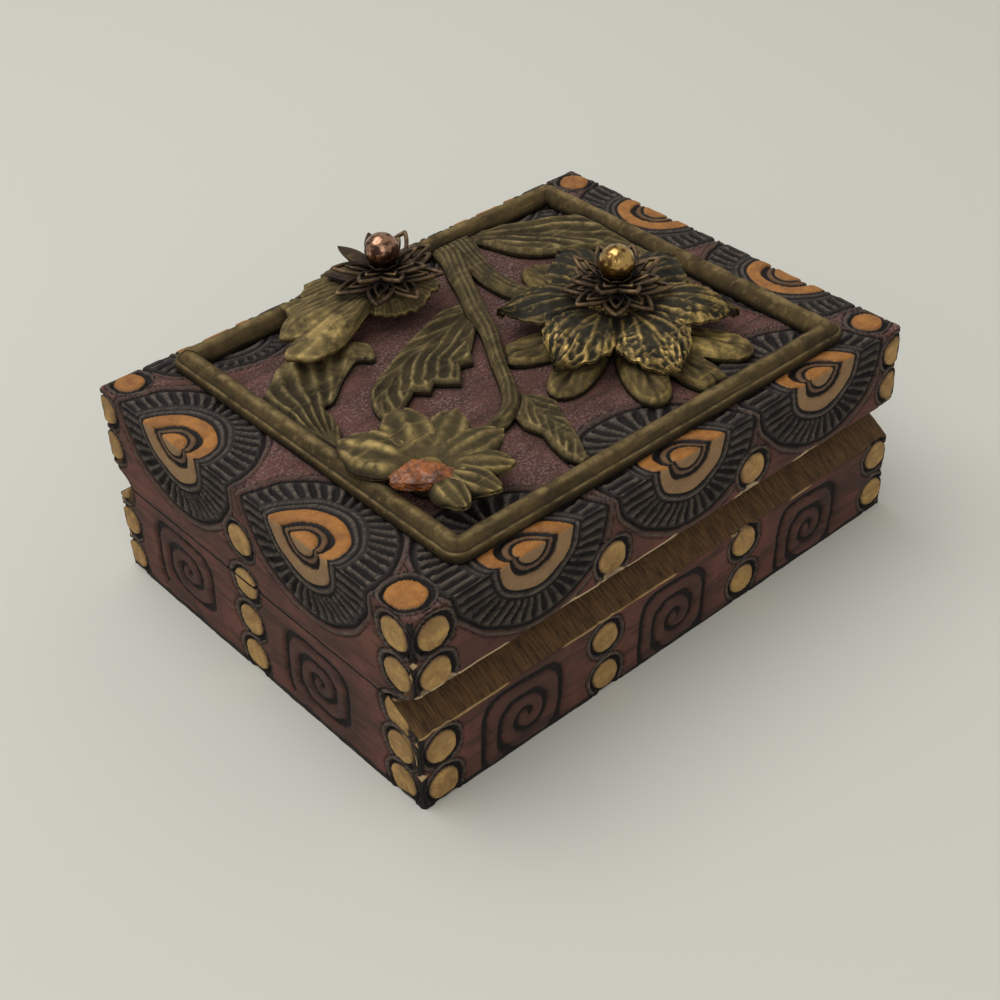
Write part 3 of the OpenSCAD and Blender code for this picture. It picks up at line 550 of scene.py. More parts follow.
def disc(relief, du, dv, radius, gold):
    """A bare round boss in a burnt ring with a lip. The ring is wider towards its lower right, where its burnt
    colour is a painted shadow of the boss.
    """
    du = du + 0.16 * wobble(spots_of(du, dv), 5, 7)
    rho = np.hypot(du, dv)
    # the off-centre outer edge widens the burnt groove to the lower right, as painted shadow
    outer = np.hypot(du - 0.2, dv + 0.15)
    relief.lay(1 - smooth_step(rho, radius + 1.5, radius + 1.8), ink=0.9, gold=0, tan=0, depth=0.05,
               burn=0.2, ridge=0.9, dust=0, chip=0)
    relief.groove(pulse(rho, radius + 1.85, 0.14, 0.4), 0.5, 0.85)
    groove = smooth_step(rho, radius - 0.25, radius + 0.2)
    groove *= 1 - smooth_step(outer, radius + 0.75, radius + 1.2)
    relief.groove(groove, 1.05)
    relief.lay(1 - smooth_step(rho, radius - 0.3, radius + 0.2), depth=0.0, burn=0, ink=0, ridge=0, tan=1,
               gold=gold)


def square_spiral(relief, u, v, spot):
    """A burnt square spiral; spot is its centre, half width and half height."""
    middle_u, middle_v, half_u, half_v = spot
    du, dv = (u - middle_u) / half_u, (v - middle_v) / half_v
    wide = np.maximum(np.abs(du), np.abs(dv))
    power = 2.0 + 2.4 * smooth_step(wide, 0.3, 0.9)
    rho = (np.abs(du) ** power + np.abs(dv) ** power) ** (1 / power)
    turn = (225 - np.degrees(np.arctan2(dv, du))) % 360 / 360
    arm = (1 - rho) / SPIRAL_PITCH - turn
    number = np.clip(np.round(arm), 0, SPIRAL_TURNS - 1)
    away = np.abs(arm - number) * SPIRAL_PITCH * (half_u + half_v) / 2
    relief.lay(1 - smooth_step(rho, 0.95, 1.1), ink=0.3)
    line = 1 - smooth_step(away, 0.35, 1.05)
    relief.groove(line * (1 - smooth_step(rho, 1.15, 1.2)), 0.75 * smooth_step(v, -0.6, 2.2), 0.72)


def carve(x, y, z, side):
    """The relief of points on one sharp outer face: front, back, left, right or top."""
    relief = Relief(len(x))
    points = np.stack([x, y, z], 1)
    # along each edge, left to right as seen from outside, and the way in from it over the top
    edges = {"front": (x, HALF_D + y), "back": (-x, HALF_D - y), "left": (-y, HALF_W + x),
             "right": (y, HALF_W - x)}
    darkening = np.clip(0.15 + 0.2 * wobble(points, 22, 31), 0, 1)
    relief.lay(1, burn=darkening * 0.6)
    if side == "top":
        relief.value["dust"] += 1
    for edge in edges if side == "top" else (side,):
        u, inward = edges[edge]
        across = inward if side == "top" else z - LID_TOP
        tip = 1 if edge in ("front", "back") else -1
        for centre in HEARTS[edge]:
            along = (u - centre + HEART_SLANT[edge] * across) * tip
            near = np.flatnonzero((np.abs(along) < FAN_HALF_W + 3) & (np.abs(across) < FAN_IN["front"] + 3))
            if not len(near):
                continue
            part = relief.part(near)
            heart_and_fan(part, along[near], across[near], float(side == "top"), FAN_IN[edge])
            relief.put(near, part)
    if side == "top":
        for sx, sy, in_x, in_y, radius in TOP_DISCS:
            disc(relief, x - sx * (HALF_W - in_x), y - sy * (HALF_D - in_y), radius, 0.9)
    else:
        u = edges[side][0]
        long_side = side in ("front", "back")
        half = HALF_W if long_side else HALF_D
        for spiral in LONG_SPIRALS if long_side else SHORT_SPIRALS:
            square_spiral(relief, u, z, spiral)
        discs = LONG_DISCS if long_side else SHORT_DISCS
        for u0, z0, radius in discs:
            disc(relief, u - u0, z - z0, radius, 0.12)
        for end in (-1, 1):
            heights = sorted((z0 for u0, z0, _ in discs if u0 * end > half - CORNER_COLUMN), reverse=True)
            corner_notches(relief, half - u * end, z, heights, points)
        foot = 1 - smooth_step(z + 0.3 * wobble(points, 7, 5), 0.2, 1.3 if long_side else 2.4)
        relief.lay(foot, burn=0.9, ink=0.4)
        relief.value["depth"] *= 0.35 + 0.65 * smooth_step(z, 0, 1.6)
        groove_lines(relief, u, z, points, side)
    for name in Relief.NAMES[1:]:
        relief.value[name] = np.clip(relief.value[name], 0, 1)
    relief.value["depth"] += 0.05 * (1 + wobble(points, 6, 21)) + 0.02 * (1 + wobble(points, 1.6, 22))
    return relief


def corner_notches(relief, inward, z, heights, points):
    """The burnt vertical edges, with pale notches left between the discs."""
    ragged = 0.3 * wobble(points, 4, 51)
    relief.lay(1 - smooth_step(inward + ragged, 0.7, 1.5), burn=0.85, ink=0.6)
    for above, below in zip(heights, heights[1:]):
        if above - below > 12:
            continue
        away = np.abs(z - (above + below) / 2)
        notch = 1 - smooth_step(away + 0.6 * inward + 0.5 * ragged, 0.7, 1.15)
        relief.lay(notch, chip=0.62, tan=1, burn=0.1, ink=0, depth=0.3)


def groove_lines(relief, u, z, points, side):
    """The sawn bevels of the finger groove, and the chipped lines along their outer edges."""
    sawn = {"front": (BASE_BEVEL[1], LID_BEVEL[1]), "back": (BACK_BEVEL[1], BACK_BEVEL[1])}
    parting = (BASE_H + LID_Z) / 2
    if side not in sawn:
        relief.lay(pulse(z, parting, 0.35, 0.3), burn=0.9)
        return
    below, above = sawn[side]
    inside = (z > BASE_H - below) & (z < LID_Z + above)
    saw = 0.5 + 0.5 * np.sin(u * 9 + 2.5 * wobble(points, 3, 41) + z * 0.8)
    for name in ("ink", "gold", "tan", "ridge", "chip"):
        relief.value[name][inside] = 0
    relief.value["raw"][inside] = 1
    relief.value["burn"][inside] = 0.12 * saw[inside]
    relief.value["depth"][inside] = 0.08 * saw[inside]
    chips = smooth_step(wobble(spots_of(u, u * 0), 16, 43), -0.2, 0.2)
    for level, width, bright in ((LID_Z + above, 0.34, 1.0), (BASE_H - below, 0.26, 0.45)):
        line = pulse(z, level, width, 0.5) * chips
        relief.lay(line, tan=0.8, burn=0, chip=bright)


# ---- carved walls, rails and lid board ----------------------------------------------

SIDE_STEP = 0.34
TOP_STEP = 0.42
MASKS = Relief.NAMES[1:]
# Masks of the bare wood inside, and how far in from the carved skin it starts
BARE = np.array([{"raw": 1.0, "burn": 0.05}.get(name, 0.0) for name in MASKS])
BARE_IN = 1.8


def inset(z, side):
    """How far the front or back face stands in from the box's outline at the heights z."""
    base, lid = (BASE_BEVEL, LID_BEVEL) if side == "front" else (BACK_BEVEL, BACK_BEVEL)
    in_base = np.clip((z - (BASE_H - base[1])) / base[1], 0, 1) * base[0]
    in_lid = np.clip(((LID_Z + lid[1]) - z) / lid[1], 0, 1) * lid[0]
    return np.where(z <= BASE_H, in_base, in_lid)


def front_y(z):
    return -HALF_D + inset(z, "front")


def back_y(z):
    return HALF_D - inset(z, "back")


def sharp_side(side, share, z):
    """Points on a sharp side; share runs 0 to 1 from left to right as seen from outside."""
    y0, y1 = front_y(z), back_y(z)
    if side == "front":
        return -HALF_W + 2 * HALF_W * share, y0
    if side == "back":
        return HALF_W - 2 * HALF_W * share, y1
    if side == "left":
        return np.full(len(z), -HALF_W), y1 + (y0 - y1) * share
    return np.full(len(z), HALF_W), y0 + (y1 - y0) * share


def skin(x, y, z, side):
    """Carved positions of points on the sharp outer surface, and one column for each mask."""
    relief = carve(x, y, z, side)
    points = np.stack([x, y, z], 1)
    low = np.stack([np.full(len(z), -HALF_W), front_y(z), np.full(len(z), -1e3)], 1)
    high = np.stack([np.full(len(z), HALF_W), back_y(z), np.full(len(z), LID_TOP)], 1)
    centre, way = rounded(points, low, high, CORNER_R)
    depth = np.clip(relief.value["depth"], 0, CORNER_R * 0.95)
    moved = centre + way * (CORNER_R - depth)[:, None]
    return moved, np.stack([relief.value[name] for name in MASKS], 1)


def by_name(masks):
    return dict(zip(MASKS, masks.T))


def evenly(low, high, step, *fixed):
    """Values from low to high about a step apart that take in the fixed ones."""
    marks = sorted({low, high, *fixed})
    parts = [np.linspace(a, b, max(2, int(round((b - a) / step)) + 1))[:-1]
             for a, b in zip(marks, marks[1:])]
    return np.concatenate([*parts, [high]])


def carved_wall(name, side, z_rows, inner, body, material):
    """One mitred wall or rail. inner is the closing profile: (distance in from outside, height)."""
    length = 2 * (HALF_W if side in ("front", "back") else HALF_D)
    shares = np.linspace(0, 1, int(length / SIDE_STEP))
    columns, rows = len(shares), len(z_rows)
    share, z = np.repeat(shares, rows), np.tile(z_rows, columns)
    x, y = sharp_side(side, share, z)
    outer, masks = skin(x, y, z, side)
    closing = np.zeros((columns, len(inner), 3))
    for k, (depth, height) in enumerate(inner):
        along = (2 * shares - 1) * (length / 2 - depth)
        across = (HALF_D if side in ("front", "back") else HALF_W) - depth
        spots = {"front": (along, -across), "back": (-along, across),
                 "left": (-across, -along), "right": (across, along)}[side]
        closing[:, k, 0], closing[:, k, 2] = spots[0], height
        closing[:, k, 1] = np.clip(spots[1], front_y(height), back_y(height))
    loop = rows + len(inner)
    points = np.concatenate([outer.reshape(columns, rows, 3), closing], 1).reshape(-1, 3)
    end = np.arange(loop)
    carved = np.tile(end < rows - 1, columns - 1)
    faces = [*ring_quads(columns, loop).tolist(), end[::-1].tolist(), ((columns - 1) * loop + end).tolist()]
    flat = [*np.flatnonzero(~carved), len(faces) - 2, len(faces) - 1]
    all_masks = np.tile(BARE, (columns, loop, 1))
    all_masks[:, :rows] = masks.reshape(columns, rows, -1)
    make_piece("carved_" + name, name, points, faces, by_name(all_masks.reshape(len(points), -1)), material,
               "carved_wood", flat, body)


def carved_board():
    """The lid board: carved top and edges as one skin, with a flat underside."""
    xs = evenly(-HALF_W, HALF_W, TOP_STEP)
    ys = evenly(-HALF_D, HALF_D, TOP_STEP)
    nx, ny = len(xs), len(ys)
    x, y = np.repeat(xs, ny), np.tile(ys, nx)
    skins = [skin(x, y, np.full(nx * ny, LID_TOP), "top")]
    faces = [grid_quads(nx, ny)]
    above = rim_of(np.arange(nx * ny).reshape(nx, ny).T)
    sides = np.repeat(("front", "right", "back", "left"), (nx, ny - 1, nx - 1, ny - 2))
    rim_x, rim_y = x[above], y[above]
    count, start = len(above), nx * ny
    for level in evenly(RAIL_TOP, LID_TOP, TOP_STEP)[:-1][::-1]:
        ring, ring_masks = np.zeros((count, 3)), np.zeros((count, len(MASKS)))
        for side in ("front", "right", "back", "left"):
            use = np.flatnonzero(sides == side)
            ring[use], ring_masks[use] = skin(rim_x[use], rim_y[use], np.full(len(use), level), side)
        skins.append((ring, ring_masks))
        below = start + np.arange(count)
        faces.append(band(above, below))
        above, start = below, start + count
    # the bare underside starts inside the carved skin
    inward = np.array([1 - BARE_IN / HALF_W, 1 - BARE_IN / HALF_D, 1])
    skins.append((ring * inward, np.tile(BARE, (count, 1))))
    under = start + np.arange(count)
    faces.append(band(above, under))
    points, masks = (np.concatenate(parts) for parts in zip(*skins))
    quads = [*np.concatenate(faces).tolist(), under[::-1].tolist()]
    make_piece("carved_lid_board", "lid_board", points, quads, by_name(masks), WOOD_X, "carved_wood",
               range(len(quads) - 1 - count, len(quads)))


def carve_box():
    base_inner = [(WALL_T, BASE_H), (WALL_T, BOTTOM_HI[2]), (WALL_T - REBATE_W, BOTTOM_HI[2]),
                  (WALL_T - REBATE_W, 0)]
    lid_inner = [(WALL_T, RAIL_TOP), (WALL_T, LID_Z)]
    for side, material in (("front", WOOD_X), ("back", WOOD_X), ("left", WOOD_Y), ("right", WOOD_Y)):
        base_marks = (BASE_H - BASE_BEVEL[1], BASE_H - BACK_BEVEL[1])
        lid_marks = (LID_Z + LID_BEVEL[1], LID_Z + BACK_BEVEL[1])
        short = side in ("left", "right")
        carved_wall(f"base_{side}_wall", side, evenly(0, BASE_H, SIDE_STEP, *base_marks),
                    [(BARE_IN, BASE_H)] * short + base_inner, "base", material)
        carved_wall(f"lid_{side}_rail", side, evenly(LID_Z, RAIL_TOP, SIDE_STEP, *lid_marks),
                    lid_inner + [(BARE_IN, LID_Z)] * short, "lid", material)
    carved_board()


carve_box()

# ---- brass frame ---------------------------------------------------------------------

PLAQUE_LO = np.minimum(node_box("frame_front_bar")[0], node_box("frame_left_bar")[0])
PLAQUE_HI = np.maximum(node_box("frame_back_bar")[1], node_box("frame_right_bar")[1])
PLAQUE_AT = (PLAQUE_LO[:2] + PLAQUE_HI[:2]) / 2
PLAQUE_HALF = (PLAQUE_HI[:2] - PLAQUE_LO[:2]) / 2
BAR_W = node_box("frame_front_bar")[1][1] - node_box("frame_front_bar")[0][1]
BAR_H = node_box("frame_front_bar")[1][2] - LID_TOP
FRAME_CORNER_R = 3.6
# Profile of a bar from its outer edge inwards: share of the width and of the height
BAR_PROFILE = ((0, 0), (0, 0.36), (0.03, 0.47), (0.10, 0.54), (0.155, 0.53), (0.19, 0.56), (0.30, 0.82),
               (0.42, 0.97), (0.54, 1.0), (0.68, 0.93), (0.80, 0.80), (0.90, 0.60), (0.97, 0.40), (1, 0.26),
               (1, 0))
# Each bar has closer rings over this length at its mitres
BAR_END = 6.0
# Dents in the front bar: place along it, share of its width, and size
DENTS =((-14, 0.55, 1.3), (4, 0.35, 1.0), (17, 0.62, 1.5), (31, 0.45, 0.9), (-33, 0.5, 1.1))


def frame_bar(name, quarter):
    """One mitred bar; quarter turns it from the front side anticlockwise."""
    half_along = PLAQUE_HALF[quarter % 2]
    half_across = PLAQUE_HALF[1 - quarter % 2]
    stations = np.concatenate([np.linspace(-half_along, BAR_END - half_along, 24)[:-1],
                               np.linspace(BAR_END - half_along, half_along - BAR_END, 120)[:-1],
                               np.linspace(half_along - BAR_END, half_along, 24)])
    marks = np.array(BAR_PROFILE)
    run = np.concatenate([[0], np.cumsum(np.hypot(*np.diff(marks, axis=0).T))])
    fine = np.linspace(0, run[-1], 44)
    across, height = np.interp(fine, run, marks[:, 0]) * BAR_W, np.interp(fine, run, marks[:, 1]) * BAR_H
    rows, columns = len(stations), len(fine)
    s, w, h = np.repeat(stations, columns), np.tile(across, rows), np.tile(height, rows)
    low = np.stack([w - half_along, w - half_across], 1)
    sharp = np.stack([s * (half_along - w) / half_along, w - half_across], 1)
    radius = np.maximum(FRAME_CORNER_R - w, 0.02)[:, None]
    centre, way = rounded(sharp, low, np.stack([half_along - w, w * 0 + 1e3], 1), radius)
    flat = centre + way * radius
    spot = np.stack([flat[:, 0], flat[:, 1], h], 1)
    top = smooth_step(h / BAR_H, 0.3, 0.8)
    h = h - top * (0.09 * (1 + wobble(spot, 9, 61 + quarter)) + 0.04 * (1 + wobble(spot, 2.2, 71 + quarter)))
    if quarter == 0:
        for at, share, size in DENTS:
            away = np.hypot(s - at, (w - share * BAR_W) * 1.3)
            h = h - top * 0.32 * np.exp(-(away / (0.55 * size)) ** 2)
    h = np.maximum(h, 0)
    x, y = turned(*flat.T, quarter * math.pi / 2)
    numbers = np.arange(rows * columns).reshape(rows, columns)
    faces = [*grid_quads(rows, columns)[:, ::-1].tolist(), numbers[0].tolist(), numbers[-1, ::-1].tolist()]
    first_flat = len(faces) - 2
    faces += np.stack([numbers[:-1, 0], numbers[1:, 0], numbers[1:, -1], numbers[:-1, -1]], 1).tolist()
    # painted highlight, also standing for rubbed wear, on the top and the outer bead; painted shade in the
    # recess and down the sides
    high = 0.75 * smooth_step(h / BAR_H, 0.8, 1.0) + 0.6 * pulse(w / BAR_W, 0.1, 0.05, 0.06)
    dark = 0.8 * pulse(w / BAR_W, 0.165, 0.03, 0.05) + 0.5 * (1 - smooth_step(h / BAR_H, 0.2, 0.6))
    points = np.stack([x + PLAQUE_AT[0], y + PLAQUE_AT[1], h + LID_TOP], 1)
    make_piece("half_round_" + name, name, points, faces, {"high": high, "dark": dark}, FRAME_BRASS,
               "frame_brass", range(first_flat, len(faces)))


for quarter, side in enumerate(("front", "right", "back", "left")):
    frame_bar(f"frame_{side}_bar", quarter)

# ---- cast leaves and stems --------------------------------------------------------------


def outline_of(node):
    """Closed outlines of the underside of a CAD prism that stands on the lid, in millimetres."""
    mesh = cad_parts[node].data
    mesh.calc_loop_triangles()
    spots = np.array([v.co for v in mesh.vertices]) / MM
    floor = spots[:, 2].min()
    keys = [tuple(np.round(p[:2], 3)) for p in spots]
    seen = {}
    for triangle in mesh.loop_triangles:
        a, b, c = triangle.vertices
        if max(spots[a][2], spots[b][2], spots[c][2]) > floor + 1e-3:
            continue
        for start, end in ((a, b), (b, c), (c, a)):
            pair = (keys[start], keys[end])
            if pair[::-1] in seen:
                del seen[pair[::-1]]
            else:
                seen[pair] = True
    following = {a: b for a, b in seen}
    loops = []
    while following:
        start, spot = next(iter(following.items()))
        loop = [start]
        del following[start]
        while spot != start:
            loop.append(spot)
            spot = following.pop(spot)
        loops.append(np.array(loop))
    return loops


def resample(loop, step):
    """Points about a step apart along a closed outline, which keeps its own corners."""
    points = []
    for a, b in zip(loop, np.roll(loop, -1, 0)):
        count = max(1, int(round(np.linalg.norm(b - a) / step)))
        points += [a + (b - a) * k / count for k in range(count)]
    return np.array(points)


def inside_of(points, loops):
    """True for the points inside the outlines, by the even-odd rule."""
    inside = np.zeros(len(points), bool)
    for loop in loops:
        for (x0, y0), (x1, y1) in zip(loop, np.roll(loop, -1, 0)):
            if y0 == y1:
                continue
            crosses = (points[:, 1] < y0) != (points[:, 1] < y1)
            at = x0 + (points[:, 1] - y0) * (x1 - x0) / (y1 - y0)
            inside ^= crosses & (points[:, 0] < at)
    return inside


def distance_to(points, line, closed=False):
    """Distance from a polyline, with its sign, and the distance along it of the nearest place."""
    ends = np.roll(line, -1, 0) if closed else line[1:]
    best = np.full(len(points), 1e9)
    signed, along = np.zeros(len(points)), np.zeros(len(points))
    run = 0.0
    for a, b in zip(line if closed else line[:-1], ends):
        way = b - a
        length = max(np.linalg.norm(way), 1e-9)
        t = np.clip(((points - a) @ way) / length ** 2, 0, 1)
        gap = points - a - t[:, None] * way
        away = np.hypot(gap[:, 0], gap[:, 1])
        nearer = away < best
        side = np.sign(way[0] * gap[:, 1] - way[1] * gap[:, 0])
        best = np.where(nearer, away, best)
        signed = np.where(nearer, away * side, signed)
        along = np.where(nearer, run + t * length, along)
        run += length
    return signed, along


# Spacing of the points over a casting
CAST_STEP = 0.34


def casting(name, shape, material):
    """A cast piece over the CAD node's outline. shape gives, for points and their distance from
    the edge, the height over the lid and the masks."""
    loops = [resample(loop, CAST_STEP * 1.2) for loop in outline_of(name)]
    rim = np.concatenate(loops)
    low, high = rim.min(0), rim.max(0)
    xs, ys = np.arange(low[0], high[0], CAST_STEP), np.arange(low[1], high[1], CAST_STEP * 0.87)
    grid = np.stack([(xs[None, :] + (np.arange(len(ys)) % 2 * CAST_STEP / 2)[:, None]).ravel(),
                     np.repeat(ys, len(xs))], 1)
    grid = grid[inside_of(grid, loops)]

    def edge_distance(points):
        return np.min([np.abs(distance_to(points, loop, True)[0]) for loop in loops], 0)

    grid = grid[edge_distance(grid) > CAST_STEP * 0.55]
    edges, start = [], 0
    for loop in loops:
        edges += [(start + k, start + (k + 1) % len(loop)) for k in range(len(loop))]
        start += len(loop)

    def triangles(points):
        got = delaunay_2d_cdt([Vector(p) for p in points], edges, [], 0, 1e-6, False)
        spots = np.array([tuple(v) for v in got[0]])
        middles = np.array([spots[list(f)].mean(0) for f in got[2]])
        keep = [f for f, inner in zip(got[2], inside_of(middles, loops)) if inner]
        return spots, keep

    spots, top_faces = triangles(np.concatenate([rim, grid]))
    height, masks = shape(spots, edge_distance(spots))
    top = np.column_stack([spots, height + LID_TOP])
    count = len(top)
    bottom = np.column_stack([rim, np.full(len(rim), LID_TOP)])
    skirt = [[a + count, b + count, b, a] for a, b in edges]
    under_spots, under = triangles(rim)
    faces = [list(f) for f in top_faces] + skirt
    if len(under_spots) == len(rim):
        faces += [[k + count for k in f][::-1] for f in under]
    flat = range(len(top_faces), len(faces))
    padded = {k: np.concatenate([v, np.zeros(len(rim))]) for k, v in masks.items()}
    # painted shade down the sides of the casting and under it
    padded["dark"][count:] = 0.7
    make_piece("cast_" + name, name, np.concatenate([top, bottom]), faces, padded, material, "leaf_brass", flat)


LEAF_T = node_box("serrated_leaf")[1][2] - LID_TOP


def rounded_edge(away, reach, foot=0.42):
    """Height share of a casting that rounds up from its edge over the reach given."""
    t = np.clip(away / reach, 0, 1)
    return foot + (1 - foot) * np.sqrt(1 - (1 - t) ** 2)


def veined(midrib, spacing, slant, ridge):
    """Shape of a leaf whose veins, ridge high, leave the midrib and sweep towards its tip."""
    line = np.array(midrib) + PLAQUE_AT

    def shape(points, away):
        spot = spots_of(*points.T)
        across, along = distance_to(points, line)
        across = across + 0.35 * wobble(spot, 11, 81)
        phase = (np.abs(across) - slant * along) / spacing
        vein = 0.5 + 0.5 * np.cos(2 * math.pi * phase)
        vein = vein ** 2.2 * smooth_step(away, 0.0, 0.9)
        rib = np.exp(-(across / 0.55) ** 2)
        body = rounded_edge(away, 1.5) - 0.25 * np.exp(-(across / 2.6) ** 2)
        height = LEAF_T * body * (0.92 + 0.08 * wobble(spot, 12, 82))
        height = height - ridge * (1 - np.maximum(vein, rib)) * smooth_step(away, 0.1, 1.0)
        height = np.clip(height + 0.05 * wobble(spot, 1.5, 83), 0.3, LEAF_T)
        # painted highlight, also standing for rubbed wear, on the veins, midrib and rim; painted shade between
        # the veins
        high = 0.8 * np.maximum(vein, 0.6 * rib) * smooth_step(height / LEAF_T, 0.5, 0.9)
        high = high + 0.5 * pulse(away, 0.45, 0.3, 0.4)
        dark = (1 - vein) * 0.35 * smooth_step(away, 0.3, 1.0)
        return height, {"high": high, "dark": dark}

    return shape


def ribbed(base, ribs, start):
    """Shape of a leaf with ribs that fan out from its base."""
    base = np.array(base) + PLAQUE_AT

    def shape(points, away):
        spot = spots_of(*points.T)
        way = points - base
        turn = np.degrees(np.arctan2(way[:, 1], way[:, 0])) + 1.5 * wobble(spot, 14, 84)
        rib = 0.5 + 0.5 * np.cos(2 * math.pi * (turn - start) / ribs)
        reach = np.hypot(*way.T)
        rib = rib ** 1.5 * smooth_step(reach, 3, 9)
        height = LEAF_T * rounded_edge(away, 1.6) * (0.82 + 0.1 * wobble(spot, 10, 85))
        height = height - 0.75 * (1 - rib) * smooth_step(away, 0.1, 1.1)
        height = np.clip(height + 0.04 * wobble(spot, 1.6, 86), 0.3, LEAF_T)
        tip = smooth_step(reach, 24, 30)
        # painted highlight, also standing for rubbed wear, on the ribs, rim and tip; painted shade between the
        # ribs
        high = 0.55 * rib + 0.5 * pulse(away, 0.45, 0.3, 0.4) + 0.7 * tip
        return height, {"high": np.clip(high, 0, 1), "dark": 0.4 * (1 - rib)}

    return shape


def stems(*lines):
    """Shape of round stems with lines along them."""
    lines = [np.array(line) + PLAQUE_AT for line in lines]

    def shape(points, away):
        spot = spots_of(*points.T)
        every = [distance_to(points, line)[0] for line in lines]
        across = every[0]
        for other in every[1:]:
            across = np.where(np.abs(other) < np.abs(across), other, across)
        line = 0.5 + 0.5 * np.cos(2 * math.pi * across / 1.25)
        height = LEAF_T * rounded_edge(away, 1.9, 0.35) - 0.22 * (1 - line ** 2) * smooth_step(away, 0.2, 0.9)
        height = np.clip(height + 0.05 * wobble(spot, 2.5, 87), 0.3, LEAF_T)
        # painted highlight, also standing for rubbed wear, on the lines and rim; painted shade between the
        # lines
        high = 0.5 * line ** 2 * smooth_step(away, 0.5, 1.4) + 0.35 * pulse(away, 0.5, 0.3, 0.4)
        return height, {"high": high, "dark": 0.4 * (1 - line) * smooth_step(away, 0.2, 0.8)}

    return shape


def middle_of(node):
    low, high = node_box(node)
    return (low[:2] + high[:2]) / 2


FLOWER_AT, STAR_AT, DAISY_AT = middle_of("flower_bead"), middle_of("star_bead"), middle_of("daisy_post")

# Tips of the petals behind the large flower, from the plaque's middle
BACK_TIPS = ((-4.6, -2.6), (-5.4, -19.4), (7, -35), (19.5, -41), (33, -35.6), (44, -8), (23.5, 20))
# The number of the one among them that is coloured brighter
BRIGHT_PETAL = 4


def back_petals(points, away):
    """Shape of the petals behind the large flower: folded along their middles."""
    spot = spots_of(*points.T)
    best = np.full(len(points), 1e9)
    along = np.zeros(len(points))
    bright = np.zeros(len(points))
    for number, tip in enumerate(BACK_TIPS):
        line = np.array([FLOWER_AT, np.array(tip) + PLAQUE_AT])
        across, run = distance_to(points, line)
        nearer = np.abs(across) < np.abs(best)
        best = np.where(nearer, across, best)
        along = np.where(nearer, run, along)
        bright = np.where(nearer, float(number == BRIGHT_PETAL), bright)
    vein = 0.5 + 0.5 * np.cos(2 * math.pi * (np.abs(best) - 0.3 * along) / 1.9)
    fold = np.exp(-(best / 0.5) ** 2)
    height = LEAF_T * rounded_edge(away, 2.2, 0.4) * (0.88 + 0.1 * wobble(spot, 9, 88))
    height = height - 0.16 * (1 - vein) - 0.30 * fold
    height = np.clip(height + 0.04 * wobble(spot, 1.6, 89), 0.3, LEAF_T)
    # painted highlight, also standing for rubbed wear, on the veins and rim, one petal coloured brighter;
    # painted shade along the fold
    high = 0.35 * vein * smooth_step(away, 0.5, 2) + 0.5 * pulse(away, 0.5, 0.35, 0.4) + 0.6 * bright
    return height, {"high": np.clip(high, 0, 1), "dark": 0.7 * fold}


# Middles of the stems and midribs of the leaves, from the plaque's middle
MAIN_STEM = ((17.5, 45), (14.5, 34), (10.5, 27), (7.5, 21), (4, 14.5), (0.5, 6.5), (-5.5, -3), (-10, -11),
             (-14.5, -16.4), (-20, -18.8), (-29, -20.4), (-38, -22.4))
SIDE_STEM = ((20, 45), (19, 36), (17, 30), (15, 23), (14.6, 16), (16.5, 8), (19.5, -2.7))
SERRATED_RIB = ((5, 14.5), (-6, 12.5), (-16, 10.5), (-25, 6.6), (-33, -0.6))
CORNER_RIB = ((22, 40), (29, 33), (37, 26), (43, 17), (47, 4))
SMALL_RIB = ((-9.5, -13), (-11.5, -20), (-12.4, -28), (-15.4, -41))
# Where the side leaf's ribs meet
SIDE_LEAF_BASE = (-47, -4)


def cast_plaque():
    casting("stem_spray", stems(MAIN_STEM, SIDE_STEM), LEAF_BRASS)
    casting("serrated_leaf", veined(SERRATED_RIB, 2.6, 0.3, 0.6), LEAF_BRASS)
    casting("side_leaf", ribbed(SIDE_LEAF_BASE, 7.5, 62), LEAF_BRASS)
    casting("corner_leaf", veined(CORNER_RIB, 2.8, 0.16, 0.5), LEAF_BRASS)
    casting("small_leaf", veined(SMALL_RIB, 1.7, 0.5, 0.34), LEAF_BRASS)
    casting("flower_backplate", back_petals, BACK_BRASS)


cast_plaque()

# ---- flowers ---------------------------------------------------------------------------------


def blade(points_of, rows, columns):
    """Closed sheet from a function of t, along, and s, across: upper points, lower points, masks."""
    t, s = np.meshgrid(np.linspace(0, 1, rows), np.linspace(-1, 1, columns), indexing="ij")
    upper, lower, masks = points_of(t.ravel(), s.ravel())
    count = rows * columns
    quads, rim = grid_quads(rows, columns), rim_of(np.arange(count).reshape(rows, columns))
    faces = np.concatenate([quads, quads[:, ::-1] + count, band(rim, rim + count)])
    both = {k: np.concatenate([v, v * 0.2]) for k, v in masks.items()}
    return np.concatenate([upper, lower]), faces, both


def join_parts(parts):
    """One set of points, faces and masks from several."""
    faces, start = [], 0
    for spots, quads, _ in parts:
        faces.append(quads + start)
        start += len(spots)
    masks = {k: np.concatenate([m[k] for _, _, m in parts]) for k in parts[0][2]}
    return np.concatenate([spots for spots, _, _ in parts]), np.concatenate(faces), masks


def placed(part, turn, at, height):
    """A part turned by degrees about its root and moved to its flower."""
    spots, faces, masks = part
    x, y = turned(spots[:, 0], spots[:, 1], math.radians(turn))
    return np.column_stack([x + at[0], y + at[1], spots[:, 2] + height]), faces, masks


def make_petals(node, petal, settings, seed, material):
    """All petals of a flower as one piece."""
    parts = [petal(*values, seed + k) for k, values in enumerate(settings)]
    make_piece("stamped_" + node, node, *join_parts(parts), material, "petal_brass")


PETALS_Z = node_box("flower_sleeve")[1][2]
PETAL_REACH = 25.2
PETAL_HALF_W = 7.5
PETAL_T = 0.9
